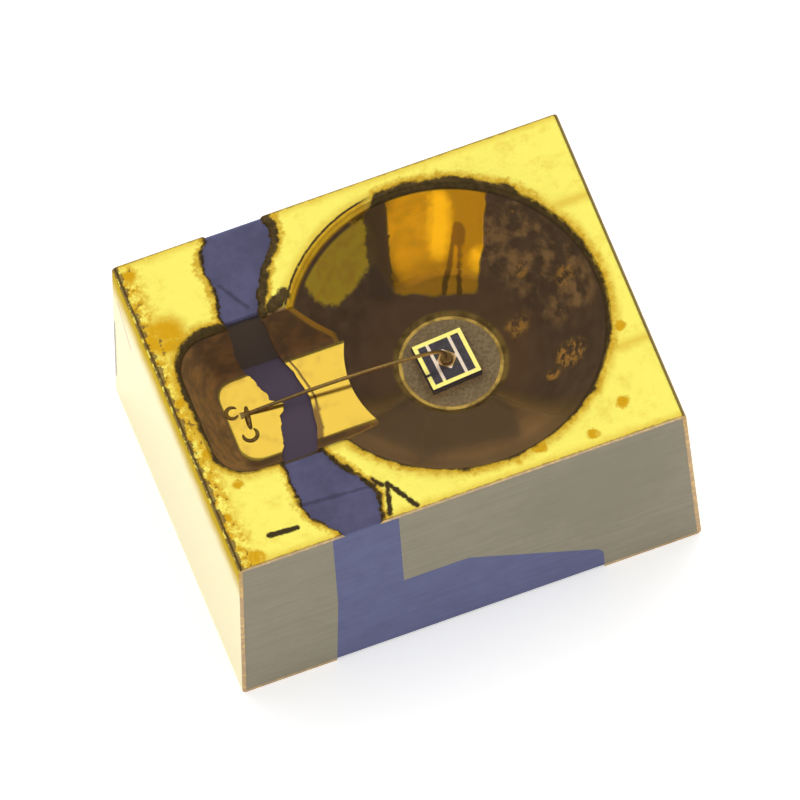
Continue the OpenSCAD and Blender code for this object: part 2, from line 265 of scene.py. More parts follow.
def ragged_edge(course, seed, calm):
    """Points along a course of (y, x) pairs, with lobes that shrink to a share inside the pocket."""
    dice = random.Random(seed)
    points, drift, y = [], 0.0, course[0][0]
    while y < course[-1][0]:
        after = next(i for i, p in enumerate(course) if p[0] > y)
        (y0, x0), (y1, x1) = course[after - 1], course[after]
        drift = min(max(KEEP * drift + dice.uniform(-KICK, KICK), -LIMIT), LIMIT)
        size = LOBE * (calm if abs(y) < CALM_HALF else 1)
        points.append((x0 + (x1 - x0) * (y - y0) / (y1 - y0) + size * drift, y))
        y += STEP * dice.uniform(0.6, 1.4)
    return points


wire_edge = ragged_edge(WIRE_SIDE_EDGE, seed=3, calm=0.7)
cup_edge = ragged_edge(CUP_SIDE_EDGE, seed=8, calm=0.15)
print("ragged points:", len(wire_edge), "and", len(cup_edge))

# %% [markdown]
# ## The gold plating
# The plating is a skin of even thickness over the grey plastic. It could be made with a Solidify modifier,
# but the skin also shows its cut edge on the two sawn sides, so it is cut as a solid: the package, less the
# cup and pocket, less the plastic under it, less the stripe. The stripe's cutter widens upwards, which
# leaves the thin slanted lip that shows as a brown line round the violet.

# %% Cut the plating
END_DRAFT = math.radians(1.7)
EDGE_RADIUS, LEAST_RADIUS = 0.035, 0.004
WIRE_PAD_X, CUP_PAD_X, PAD_GAP_HALF = -0.928, 0.913, 1.4
LIP_RISE, LIP_LEAN = 0.06, 0.05
FLOOR_FILLET = 0.05
SLIVER = 0.002


def package_section(inset, steps=9):
    """The package's section along its length, with every plated face moved in by inset."""
    slant = inset / math.cos(END_DRAFT)
    foot = half_foot - slant - inset * math.tan(END_DRAFT)
    crown = half_foot - top_z * math.tan(END_DRAFT) - slant + inset * math.tan(END_DRAFT)
    roof = top_z - inset
    radius = max(EDGE_RADIUS - inset, LEAST_RADIUS)
    section = []
    for x, z, start in ((-foot, inset, 180), (foot, inset, 270), (crown, roof, 0), (-crown, roof, 90)):
        centre_x = x - math.copysign(radius, x)
        centre_z = z + (radius if z < top_z / 2 else -radius)
        for i in range(steps + 1):
            turn = math.radians(start + 90 * i / steps)
            section.append((centre_x + radius * math.cos(turn), centre_z + radius * math.sin(turn)))
    return section


def stripe_cutter(low, high, lean):
    """The bare stripe's space: its edges move apart by lean from its foot to its top."""
    rings = []
    for z, shift in ((low, 0.0), (high, lean)):
        near_cup = [(x + shift, y, z) for x, y in cup_edge]
        near_wire = [(x - shift, y, z) for x, y in reversed(wire_edge)]
        rings.append(near_cup + near_wire)
    return loft("stripe", rings)


skin = loft("plating", crosswise(package_section(0.0), half_width))
under = loft("under", crosswise(package_section(plating), half_width + CLEAR))
combine(under, loft("cup", turned(cup_profile(plating, steps=24), CUP_X, 120)))
combine(under, loft("pocket", pocket_rings(plating)))
combine(skin, loft("cup", turned(cup_profile(0.0, ROLL), CUP_X)))
combine(skin, loft("pocket", pocket_rings(0.0, ROLL, FLOOR_FILLET)))
combine(skin, under)
combine(skin, stripe_cutter(top_z - plating - SLIVER, top_z + LIP_RISE, LIP_LEAN))
combine(skin, stripe_cutter(ledge_z, top_z - plating + 2 * SLIVER, 0.0))
pad_gap = [(WIRE_PAD_X, -PAD_GAP_HALF), (CUP_PAD_X, -PAD_GAP_HALF)]
pad_gap += [(CUP_PAD_X, PAD_GAP_HALF), (WIRE_PAD_X, PAD_GAP_HALF)]
combine(skin, loft("pad gap", upright(pad_gap, -CLEAR, plating + SLIVER / 2)))
print("plating faces:", len(skin.data.polygons))

# %% [markdown]
# The stripe and the gap between the solder pads part the skin into the two electrodes, so they are simply the
# two loose shells of the mesh. The cup is a mirror, and on a mirror every small error of the shading normals
# shows. Its normals are therefore not left to the mesh: they are set from the parabola itself.


# %% Part the plating into its two electrodes
def loose_shells(piece):
    """Lists of face numbers, one for each separate shell of a mesh, the largest first."""
    work = bmesh.new()
    work.from_mesh(piece.data)
    left, shells = set(work.faces), []
    while left:
        todo, shell = [left.pop()], []
        while todo:
            face = todo.pop()
            shell.append(face.index)
            for edge in face.edges:
                for near in edge.link_faces:
                    if near in left:
                        left.remove(near)
                        todo.append(near)
        shells.append(shell)
    work.free()
    return sorted(shells, key=len, reverse=True)


def copy_faces(piece, name, faces):
    """A new piece from some faces of another."""
    work = bmesh.new()
    work.from_mesh(piece.data)
    keep = set(faces)
    bmesh.ops.delete(work, geom=[f for f in work.faces if f.index not in keep], context="FACES")
    mesh = bpy.data.meshes.new(name)
    work.to_mesh(mesh)
    work.free()
    part = bpy.data.objects.new(name, mesh)
    bpy.context.scene.collection.objects.link(part)
    return part


CUP_MISS, SAME_WAY = 0.004, 0.8


def set_cup_normals(piece):
    """Gives faces that lie on the parabola its own normals."""
    mesh = piece.data
    normals = [tuple(n.vector) for n in mesh.corner_normals]
    for face in mesh.polygons:
        exact = []
        for corner in face.loop_indices:
            x, y, z = mesh.vertices[mesh.loops[corner].vertex_index].co / MM
            miss = (x - CUP_X) ** 2 + y**2 - CUP_RADIUS**2 + cup_fall * (top_z - z)
            if abs(miss) > CUP_MISS:
                break
            exact.append((corner, Vector((2 * (CUP_X - x), -2 * y, cup_fall)).normalized()))
        else:
            for corner, normal in exact:
                if normal.dot(face.normal) > SAME_WAY:
                    normals[corner] = tuple(normal)
    mesh.normals_split_custom_set(normals)


shells = sorted(loose_shells(skin)[:2], key=lambda faces: skin.data.polygons[faces[0]].center.x)
wire_plating, cup_plating = (
    to_metres(copy_faces(skin, name, faces)) for name, faces in zip(("wire_end_gold", "cup_end_gold"), shells)
)
bpy.data.objects.remove(skin)
set_cup_normals(cup_plating)
for piece, node in ((wire_plating, "wire_end_plating"), (cup_plating, "cup_end_plating")):
    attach(piece, "root")
    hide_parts(node)
    print(piece.name, "faces:", len(piece.data.polygons))

# %% [markdown]
# ## The clear resin
# The cup and the pocket are filled with clear resin, a little below the top, with a shallow dip where it
# shrank. For glass to refract properly the renderer must meet one surface where resin and gold touch. The
# resin is therefore made a little larger than its space, so that its hidden sides lie inside the plating and
# the plastic, and only its upper face is seen.

# %% Cast the resin
RESIN_OVERLAP, RESIN_DIP = 0.055, 0.014
LID_HOLE, LID_RADIUS, LID_HEIGHT = 0.002, 3.0, 0.3


def resin_lid(steps=24):
    """Radius and height of everything above the resin: a low dome below, flat outside the cup."""
    reach = cup_radius_at(top_z - resin_z)
    profile = []
    for i in range(steps + 1):
        height = resin_z - RESIN_DIP * (1 - (i / steps) ** 2)
        profile.append((LID_HOLE + reach * i / steps, height))
    return profile + [(LID_RADIUS, resin_z), (LID_RADIUS, top_z + LID_HEIGHT)]


resin = loft("resin", turned(cup_profile(RESIN_OVERLAP), CUP_X))
combine(resin, loft("pocket", pocket_rings(RESIN_OVERLAP)), "UNION")
combine(resin, loft("lid", turned(resin_lid(), CUP_X)))
to_metres(resin)
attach(resin, "root")
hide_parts("encapsulant")
print("resin faces:", len(resin.data.polygons))

# %% [markdown]
# ## The chip and its adhesive
# The chip sits in silver-filled adhesive that flooded the well round it and climbed its foot a little. A disc
# on a polar grid carries both: its height rises towards the chip, and seeded noise makes it lumpy.

# %% Spread the adhesive
CHIP_X, CHIP_TURN, CHIP_SIDE = 0.312, math.radians(4), 0.352
CLIMB, CLIMB_REACH = 0.03, 0.014
CROWN, LUMP = 0.006, 0.0013


def off_chip(x, y):
    """Distance outside the chip's four sides, in plan."""
    u = (x - CHIP_X) * math.cos(CHIP_TURN) + y * math.sin(CHIP_TURN)
    v = -(x - CHIP_X) * math.sin(CHIP_TURN) + y * math.cos(CHIP_TURN)
    return max(abs(u), abs(v)) - CHIP_SIDE / 2


def adhesive_rings(sides=144, rows=34):
    """The well's floor and then the lumpy upper face, from its edge to its middle."""
    dice = random.Random(5)
    rings = turned([(WELL_RADIUS, well_z)], CUP_X, sides)
    for row in range(rows):
        radius = WELL_RADIUS * (1 - row / rows)
        ring = []
        for x, y, _ in turned([(radius, 0)], CUP_X, sides)[0]:
            climb = CLIMB * math.exp(-max(off_chip(x, y), 0) / CLIMB_REACH)
            crown = CROWN * (1 - (radius / WELL_RADIUS) ** 6)
            lump = dice.uniform(-1, 1) * LUMP if row else 0
            ring.append((x, y, ledge_z + crown + climb + lump))
        rings.append(ring)
    return rings


adhesive = to_metres(loft("adhesive", adhesive_rings()), 80)
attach(adhesive, "root")
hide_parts("die_attach")
print("adhesive faces:", len(adhesive.data.polygons))

# %% [markdown]
# The chip is a sawn crystal: full size at its foot, with a shallow etched step under the contact. A loft
# through slightly rounded squares gives the step and takes the razor edge off the saw cut.


# %% Saw the chip
def square_ring(half, corner, z, steps=4):
    """A square with rounded corners, on the chip's own axes, at a height."""
    ring = []
    for k, (side_u, side_v) in enumerate(((1, 1), (-1, 1), (-1, -1), (1, -1))):
        for i in range(steps + 1):
            turn = QUARTER * (k + i / steps)
            u = side_u * (half - corner) + corner * math.cos(turn)
            v = side_v * (half - corner) + corner * math.sin(turn)
            x = CHIP_X + u * math.cos(CHIP_TURN) - v * math.sin(CHIP_TURN)
            ring.append((x, u * math.sin(CHIP_TURN) + v * math.cos(CHIP_TURN), z))
    return ring


CHIP_STEPS = (0.0, 0.016), (0.0025, 0.0125), (0.004, 0.012), (0.0045, 0.0015), (0.0055, 0.0)
CHIP_CORNER = 0.006
half_chip = CHIP_SIDE / 2
chip_levels = [(half_chip, chip_low.z)]
for inset, below in CHIP_STEPS:
    chip_levels.append((half_chip - inset, chip_high.z - below))
chip = to_metres(loft("chip", [square_ring(half, CHIP_CORNER, z) for half, z in chip_levels]), 35)
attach(chip, "root")
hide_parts("led_chip")
print("chip faces:", len(chip.data.polygons))

# %% [markdown]
# ## The bond wire
# The wire is melted to a ball, pressed onto the chip, looped over to the pocket and pressed flat there. It
# follows the same two curves as in the construction. A curve object with a bevel would also do, but its ends
# would have to be added, so the tube, the ball and the stitch are lofted and joined into one solid.

# %% Draw the wire
WIRE = 0.026
WIRE_TURN = math.radians(180 - 1.8)
WIRE_START, LOOP_HEIGHT, STITCH = 0.017, 0.115, 1.319
STITCH_FLATS = (0.02, 1.1, 0.75), (0.04, 1.35, 0.5), (0.06, 1.7, 0.3), (0.078, 1.8, 0.16)
SINK = 0.001
contact_top = node_box("chip_contact")[1].z
LOOP_Z = floor_z + LOOP_HEIGHT
KNEE = (4 * WIRE, LOOP_Z - 2 * WIRE)
RISE_CURVE = ((0, contact_top + WIRE_START), (0, KNEE[1] - WIRE),
              (KNEE[0] - 2 * WIRE, KNEE[1] - WIRE), KNEE)
LOOP_CURVE = (KNEE, (STITCH / 3, LOOP_Z + WIRE), (STITCH * 2 / 3, LOOP_Z), (STITCH, floor_z + WIRE / 2))


def on_curve(p, t):
    """Point at t of a cubic curve with four control points."""
    weights = (1 - t) ** 3, 3 * t * (1 - t) ** 2, 3 * t * t * (1 - t), t**3
    return tuple(sum(w * point[k] for w, point in zip(weights, p)) for k in (0, 1))


def from_ball(reach, aside, z):
    """A point given by its reach from the ball towards the stitch."""
    c, s = math.cos(WIRE_TURN), math.sin(WIRE_TURN)
    return CHIP_X + reach * c - aside * s, reach * s + aside * c, z


def wire_rings(sides=16, steps=28):
    """Round rings along the wire that flatten into the stitch."""
    line = [on_curve(RISE_CURVE, i / steps) for i in range(steps)]
    line += [on_curve(LOOP_CURVE, i / (2 * steps)) for i in range(2 * steps + 1)]
    rings = []
    for i, (reach, z) in enumerate(line):
        before, after = line[max(i - 1, 0)], line[min(i + 1, len(line) - 1)]
        run, climb = after[0] - before[0], after[1] - before[1]
        size = math.hypot(run, climb)
        ring = []
        for k in range(sides):
            turn = 2 * math.pi * k / sides
            lift, aside = WIRE / 2 * math.cos(turn), WIRE / 2 * math.sin(turn)
            ring.append(from_ball(reach - lift * climb / size, aside, z + lift * run / size))
        rings.append(ring)
    for reach, wide, thick in STITCH_FLATS:
        ring = []
        for k in range(sides):
            turn = 2 * math.pi * k / sides
            lift = WIRE * thick / 2 * (math.cos(turn) + 1)
            aside = WIRE * wide / 2 * math.sin(turn)
            ring.append(from_ball(STITCH + reach, aside, floor_z - SINK + lift))
        rings.append(ring)
    return rings


BALL_FOOT, BALL_CORE, BALL_BULGE = 0.034, 0.028, 0.015
BALL_MIDDLE, BALL_HALF, BALL_STEPS = 0.016, 0.0155, 10
BALL_NECK = (0.020, 0.036), (0.0145, 0.044)
ball_profile = [(BALL_FOOT, contact_top - SINK)]
for k in range(BALL_STEPS + 1):
    turn = math.pi * k / BALL_STEPS
    height = contact_top + BALL_MIDDLE - BALL_HALF * math.cos(turn)
    ball_profile.append((BALL_CORE + BALL_BULGE * math.sin(turn), height))
ball_profile += [(radius, contact_top + above) for radius, above in BALL_NECK]
wire = loft("wire", wire_rings())
combine(wire, loft("ball", turned(ball_profile, CHIP_X, 32)), "UNION")
to_metres(wire, 50)
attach(wire, "root")
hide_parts("bond_wire")
print("wire faces:", len(wire.data.polygons))

# %% [markdown]
# The bonding tool leaves its print in the soft gold: an open ring at the stitch, a second one from a try
# beside it, and a smear of gold between the two. Each is a low swept ridge that sinks into the floor. Their
# dark brown finish is partly painted shade.

# %% Press the tool marks
RING_MARKS = (((-1.125, 0.083), 0.040, 30, 320), ((-1.070, -0.104), 0.046, 160, 405))
SMEAR = ((-1.028, 0.098), (-1.040, 0.040), (-1.052, -0.020), (-1.052, -0.072))
RING_RIDGE, SMEAR_RIDGE = (0.015, 0.009), (0.020, 0.012)


def ridge_rings(line, half, height, sides=10):
    """Rings of a low ridge along a line in plan, which fades out at both ends."""
    rings = []
    for i, (x, y) in enumerate(line):
        (x0, y0), (x1, y1) = line[max(i - 1, 0)], line[min(i + 1, len(line) - 1)]
        size = math.hypot(x1 - x0, y1 - y0)
        fade = math.sin(math.pi * (i + 0.3) / (len(line) - 0.4)) ** 0.35
        ring = []
        for k in range(sides):
            around = 2 * math.pi * k / sides
            across = half * fade * math.cos(around)
            z = floor_z - SINK + height * fade * math.sin(around)
            ring.append((x - across * (y1 - y0) / size, y + across * (x1 - x0) / size, z))
        rings.append(ring)
    return rings


def ring_line(centre, radius, start, stop, steps=40):
    """Points of an open ring in plan."""
    turns = [math.radians(start + (stop - start) * i / steps) for i in range(steps + 1)]
    return [(centre[0] + radius * math.cos(t), centre[1] + radius * math.sin(t)) for t in turns]


def eased_line(points, steps=12):
    """Points of a smooth line through four control points in plan."""
    return [on_curve(points, i / steps) for i in range(steps + 1)]


tool_marks = []
for number, mark in enumerate(RING_MARKS, 1):
    tool_marks.append(loft(f"tool_ring_{number}", ridge_rings(ring_line(*mark), *RING_RIDGE)))
tool_marks.append(loft("tool_smear", ridge_rings(eased_line(SMEAR), *SMEAR_RIDGE)))
for ridge in tool_marks:
    to_metres(ridge, 60)
    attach(ridge, "root")
print("tool marks:", [ridge.name for ridge in tool_marks])

# %% [markdown]
# ## Helpers for finishes
# Every finish is procedural. They all measure from the same place: the object's own coordinates, turned into
# millimetres, so that a speck of 0.01 mm is simply written as that, and a stain stays where it is when the
# camera moves. A shader is a sum of masks from 0 to 1, and these helpers make the nodes for such sums, so
# that a mask reads like the arithmetic it is.


# %% Small helpers for shader nodes
def new_finish(name):
    """A new material, its node tree and its Principled shader."""
    made = bpy.data.materials.new(name)
    made.use_nodes = True
    return made, made.node_tree, made.node_tree.nodes["Principled BSDF"]


def add(tree, kind, *values, **settings):
    """Adds a shader node. A value that is a socket is linked to the input, and another is set on it."""
    made = tree.nodes.new("ShaderNode" + kind)
    for key, value in settings.items():
        setattr(made, key, value)
    for slot, value in enumerate(values):
        if isinstance(value, bpy.types.NodeSocket):
            tree.links.new(value, made.inputs[slot])
        elif value is not None:
            made.inputs[slot].default_value = value
    return made


def tree_of(*values):
    """The node tree of the first socket among some values."""
    return next(v.id_data for v in values if isinstance(v, bpy.types.NodeSocket))


def calc(operation, *values):
    """One step of arithmetic on sockets and numbers."""
    return add(tree_of(*values), "Math", *values, operation=operation).outputs[0]


def ramp(value, low, high):
    """Goes smoothly from 0 at low to 1 at high, and the other way round if low is above high."""
    made = add(tree_of(value), "MapRange", value, low, high, 0.0, 1.0, interpolation_type="SMOOTHSTEP")
    return made.outputs[0]


def times(first, *others):
    """The product of several masks."""
    for other in others:
        first = calc("MULTIPLY", first, other)
    return first


def plus(first, *others):
    """The sum of several values."""
    for other in others:
        first = calc("ADD", first, other)
    return first


def most(first, *others):
    """The largest of several masks."""
    for other in others:
        first = calc("MAXIMUM", first, other)
    return first


def swing(value, amount):
    """Noise moved to lie evenly about zero, that far from end to end."""
    return calc("MULTIPLY_ADD", value, amount, -amount / 2)


def without(mask):
    """1 where a mask is 0, and 0 where it is 1."""
    return calc("SUBTRACT", 1.0, mask)


# %% Helpers for colours, places and noise
def toned(colour, share):
    """A colour made darker or lighter by a share."""
    return tuple(share * v for v in colour)


def blend(share, first, second):
    """Mixes two colours."""
    tree = tree_of(share, first, second)
    made = add(tree, "Mix", data_type="RGBA")
    for slot, value in ((0, share), (6, first), (7, second)):
        if isinstance(value, bpy.types.NodeSocket):
            tree.links.new(value, made.inputs[slot])
        else:
            made.inputs[slot].default_value = value if slot == 0 else (*value, 1)
    return made.outputs[2]


def place(tree):
    """The object's coordinates in millimetres, and their three parts."""
    coords = add(tree, "TexCoord").outputs["Object"]
    scaled = add(tree, "VectorMath", coords, operation="SCALE")
    scaled.inputs["Scale"].default_value = 1 / MM
    split = add(tree, "SeparateXYZ", scaled.outputs[0])
    return scaled.outputs[0], *split.outputs


def noise(vector, per_mm, detail=2.0, rough=0.5, stretch=None):
    """Noise from 0 to 1 with about that many lumps to the millimetre."""
    tree = tree_of(vector)
    if stretch:
        vector = add(tree, "VectorMath", vector, stretch, operation="MULTIPLY").outputs[0]
    made = add(tree, "TexNoise", vector)
    for key, value in (("Scale", per_mm), ("Detail", detail), ("Roughness", rough)):
        made.inputs[key].default_value = value
    return made.outputs["Fac"]


def relief(shader, height, depth):
    """Adds a bump of that depth in millimetres to a shader."""
    tree = tree_of(height)
    made = add(tree, "Bump")
    made.inputs["Strength"].default_value = 1.0
    made.inputs["Distance"].default_value = depth * MM
    tree.links.new(height, made.inputs["Height"])
    tree.links.new(made.outputs[0], shader.inputs["Normal"])


def wear(piece, finish):
    """Gives a piece its finish."""
    piece.data.materials.clear()
    piece.data.materials.append(finish)
    print(piece.name, "wears", finish.name)


# %% [markdown]
# ## Marks that have a place
# Noise alone makes a surface that is dirty everywhere. On the real part single marks have their own place: a
# dash on one land, a stain in one corner, a streak down one side of the cup. These helpers measure, in plan,
# the distance to a point, to a stroke, or to one of the edges drawn above, so that each mark can be put
# where it belongs and frayed with noise.


# %% Measure distances in plan
def near_point(plan, point, radius, fray=0.0):
    """1 at a point, fading to 0 at that radius, which the fray makes uneven."""
    away = add(tree_of(plan), "VectorMath", plan, (*point, 0), operation="DISTANCE").outputs["Value"]
    return ramp(calc("ADD", away, fray), radius, radius * 0.45)


def off_stroke(plan, start, end):
    """Distance from a straight stroke."""
    tree = tree_of(plan)
    run = Vector((end[0] - start[0], end[1] - start[1], 0))
    moved = add(tree, "VectorMath", plan, (*start, 0), operation="SUBTRACT").outputs[0]
    along = add(tree, "VectorMath", moved, tuple(run), operation="DOT_PRODUCT").outputs["Value"]
    share = add(tree, "Math", along, run.length_squared, operation="DIVIDE", use_clamp=True).outputs[0]
    foot = add(tree, "VectorMath", tuple(run), operation="SCALE")
    tree.links.new(share, foot.inputs["Scale"])
    return add(tree, "VectorMath", moved, foot.outputs[0], operation="DISTANCE").outputs["Value"]


def beside(plan, start, end):
    """Distance to the right of a line from start to end, and below zero on its left."""
    run = Vector((end[0] - start[0], end[1] - start[1], 0)).normalized()
    moved = add(tree_of(plan), "VectorMath", plan, (*start, 0), operation="SUBTRACT").outputs[0]
    across = add(tree_of(plan), "VectorMath", moved, (run.y, -run.x, 0), operation="DOT_PRODUCT")
    return across.outputs["Value"]


def off_course(x, y, course, side):
    """Distance along X from a course of (y, x) pairs, counted to the +X side or the -X side."""
    low, high = course[0][0], course[-1][0]
    left, right = min(p[1] for p in course) - 0.01, max(p[1] for p in course) + 0.01
    made = add(tree_of(y), "FloatCurve", 1.0, calc("MULTIPLY_ADD", y, 1 / (high - low), -low / (high - low)))
    curve = made.mapping.curves[0]
    places = [((p[0] - low) / (high - low), (p[1] - left) / (right - left)) for p in course]
    curve.points[0].location, curve.points[-1].location = places[0], places[-1]
    for spot in places[1:-1]:
        curve.points.new(*spot)
    for point in curve.points:
        point.handle_type = "VECTOR"
    made.mapping.update()
    edge = calc("MULTIPLY_ADD", made.outputs[0], right - left, left)
    return calc("MULTIPLY", calc("SUBTRACT", x, edge), side)


def off_pocket(x, y):
    """Distance outside the pocket's rounded rim, and below zero inside it."""
    corner = POCKET_CORNERS[0]
    past_x = calc("SUBTRACT", POCKET_X + corner, x)
    past_y = calc("SUBTRACT", calc("ABSOLUTE", y), POCKET_HALF - corner)
    out_x, out_y = calc("MAXIMUM", past_x, 0.0), calc("MAXIMUM", past_y, 0.0)
    out = calc("SQRT", plus(times(out_x, out_x), times(out_y, out_y)))
    return plus(out, calc("MINIMUM", calc("MAXIMUM", past_x, past_y), 0.0), -corner - ROLL)


# %% Measure bearings round the cup
def from_cup_axis(x, y):
    """Distance from the cup's axis."""
    aside = calc("SUBTRACT", x, CUP_X)
    return calc("SQRT", plus(times(aside, aside), times(y, y)))


def bearing(at, degrees, near, far):
    """1 within near degrees of a bearing round the cup's axis, fading to 0 at far degrees."""
    turn = math.radians(degrees)
    along_x = calc("MULTIPLY_ADD", at.x, math.cos(turn), -CUP_X * math.cos(turn))
    reach = plus(along_x, times(at.y, math.sin(turn)))
    return ramp(calc("DIVIDE", reach, at.radius), math.cos(math.radians(far)), math.cos(math.radians(near)))


# %% [markdown]
# ## The finish of the gold
# The plated top is satin and grainy, bright in the middle of each land and burnt brown along every rim, where
# the metal was hot and thin. Under the resin most of the cup's wall is dull brown. Only a window at its back
# and the wall across from it are still polished. Light from the lamp meets both on its way to the camera,
# and turns amber. The window's lowest part is a painted reflection: amber paint on the dull wall. The sawn
# sides cut through the skin and show the copper under the gold. One material serves all of it: height, slope
# and the distances above tell the places apart. The first step is to measure them once, for all the masks
# that follow.

# %% Measure the places on the plating
from types import SimpleNamespace

WINDOW_BEARING, NEAR_WALL_BEARING = (78, 26, 32), (-110, 38, 62)
WINDOW_FADE = 0.545, 0.650
WINDOW_RIGHT = (0.692, 0.435), (0.906, 0.824)
# The window's foot is a painted reflection: amber paint on the dull wall below the window.
WINDOW_FOOT_REFLECTION = (0.205, 0.543), (0.648, 0.394)


def measure_gold(tree):
    """Everything that the gold's masks are made from."""
    at = SimpleNamespace()
    at.spot, at.x, at.y, z = place(tree)
    normal = add(tree, "SeparateXYZ", add(tree, "NewGeometry").outputs["Normal"])
    at.lean_x, at.slope = normal.outputs[0], normal.outputs[2]
    at.plan = add(tree, "CombineXYZ", at.x, at.y, 0.0).outputs[0]
    at.depth = calc("SUBTRACT", top_z, z)
    at.end_plan = add(tree, "CombineXYZ", at.y, at.depth, 0.0).outputs[0]
    at.radius = from_cup_axis(at.x, at.y)
    at.cloud = noise(at.spot, 8, detail=6, rough=0.65)
    at.grain = noise(at.spot, 60, detail=2)
    at.spots = noise(at.spot, 24, detail=4, rough=0.6)
    at.fray = plus(swing(noise(at.spot, 6, detail=5, rough=0.62), 0.11), swing(at.spots, 0.018))

    at.middle = ramp(calc("ABSOLUTE", at.x), half_foot - 0.10, half_foot - 0.12)
    at.inside = times(ramp(at.depth, 0.012, 0.045), at.middle)
    at.on_top = times(ramp(at.depth, 0.03, 0.004), ramp(at.slope, 0.6, 0.9))
    at.wall = times(at.inside, ramp(at.slope, 0.985, 0.93))
    at.cut = ramp(calc("ABSOLUTE", at.y), half_width - 0.004, half_width - 0.001)
    at.off_rim = plus(at.radius, -CUP_RADIUS - ROLL * ROLL_WIDTH)
    at.off_pocket = off_pocket(at.x, at.y)
    at.off_wire_edge = off_course(at.x, at.y, WIRE_SIDE_EDGE, -1)
    at.off_cup_edge = off_course(at.x, at.y, CUP_SIDE_EDGE, 1)
    off_cup = most(ramp(at.lean_x, 0.35, 0.25), ramp(at.x, -0.70, -0.76))
    at.pocket_wall = times(at.wall, ramp(at.x, -0.30, -0.34), off_cup)
    at.cup_wall = times(at.wall, without(at.pocket_wall))
    return at


def part_cup_wall(at):
    """Parts the cup's wall into the window, its foot's painted reflection, the near wall and the dull rest.
    """
    frayed = swing(at.cloud, 0.07)
    left_of_edge = ramp(plus(beside(at.plan, *WINDOW_RIGHT), frayed), 0.012, -0.010)
    pane = times(at.cup_wall, bearing(at, *WINDOW_BEARING), left_of_edge)
    window = times(pane, ramp(plus(at.radius, swing(at.cloud, 0.04)), *WINDOW_FADE))
    # Painted reflection: the window's foot, where the dull wall is painted amber.
    at.window_foot = times(pane, ramp(plus(beside(at.plan, *WINDOW_FOOT_REFLECTION), frayed), 0.014, -0.012))
    at.near_wall = times(at.cup_wall, bearing(at, *NEAR_WALL_BEARING))
    at.dull_wall = times(at.cup_wall, without(window), without(at.near_wall))


print("window at bearing", WINDOW_BEARING[0], "and near wall at", NEAR_WALL_BEARING[0], "degrees")

# %% [markdown]
# On the lands the rims are burnt in ragged bites: widest behind the cup and along the stripe, and absent on
# the left of the cup. There the dry lip of the wall, above the resin, is a gold crescent under one thin dark
# line. The end by the pocket is granular and orange.

# %% Mark the top
STAINS = (
    ((-1.39, 0.585), 0.20), ((-1.46, 0.57), 0.11), ((-1.33, -0.585), 0.055), ((-1.46, -0.79), 0.06),
    ((-1.39, -1.12), 0.08), ((0.575, -1.045), 0.06), ((0.42, -1.10), 0.05), ((1.18, -0.93), 0.06),
    ((-1.45, 0.10), 0.05), ((-1.43, -0.30), 0.05), ((-1.44, 1.08), 0.06), ((1.36, -0.42), 0.05),
    ((0.92, -1.08), 0.05),
)
DASH = (-1.258, -1.003), (-1.071, -1.016)
SCRATCHES = (
    ((-0.425, -0.927), (-0.486, -1.139)),
    ((-0.425, -0.927), (-0.30, -1.15)),
    ((-0.50, -0.87), (-0.46, -0.93)),
)
BACK_BEARING, LEFT_BEARING, RIGHT_BEARING = (70, 24, 36), (138, 34, 42), (10, 35, 60)
BURNT_CORNER, BURNT_BLOB = (-1.25, 0.5), ((-0.67, 0.55), (-0.56, 0.60))
CRESCENT_LINE = -0.004
half_crown = half_foot - top_z * math.tan(END_DRAFT)


def burnt_edges(at):
    """Masks of the burnt bites along rims and stripe, and of the scorched gold round them."""
    back = bearing(at, *BACK_BEARING)
    left = bearing(at, *LEFT_BEARING)
    right = bearing(at, *RIGHT_BEARING)
    rim = plus(at.off_rim, at.fray, 0.014, times(back, -0.020), times(right, 0.006), times(left, 0.12))
    corner = times(near_point(at.plan, BURNT_CORNER, 0.25), -0.012)
    pocket = plus(at.off_pocket, at.fray, corner, 0.014, ramp(at.x, -0.72, -0.62))
    dry = ramp(at.depth, 0.075, 0.052)
    bites = times(most(ramp(rim, 0.010, -0.012), ramp(pocket, 0.008, -0.010)), dry)
    heavy = times(ramp(at.y, 0.45, 0.60), -0.045)
    stripe = most(plus(at.off_wire_edge, at.fray), plus(at.off_cup_edge, at.fray, heavy))
    blob = ramp(plus(off_stroke(at.plan, *BURNT_BLOB), at.fray), 0.050, 0.030)
    lips = times(most(ramp(stripe, 0.032, 0.010), blob), ramp(at.depth, 0.06, 0.04))
    line = ramp(calc("ABSOLUTE", plus(at.off_rim, swing(at.spots, 0.016), -CRESCENT_LINE)), 0.011, 0.004)
    crescent = times(left, line, ramp(at.depth, 0.03, 0.01), ramp(at.spots, 0.30, 0.42))
    halo = swing(at.spots, 0.08)
    scorched = most(ramp(plus(rim, halo), 0.055, 0.0), ramp(plus(pocket, halo), 0.050, 0.0),
                    ramp(plus(stripe, halo), 0.075, 0.030))
    at.lip = times(left, ramp(at.off_rim, CRESCENT_LINE, CRESCENT_LINE - 0.008), dry)
    return most(bites, lips, crescent), times(scorched, dry)


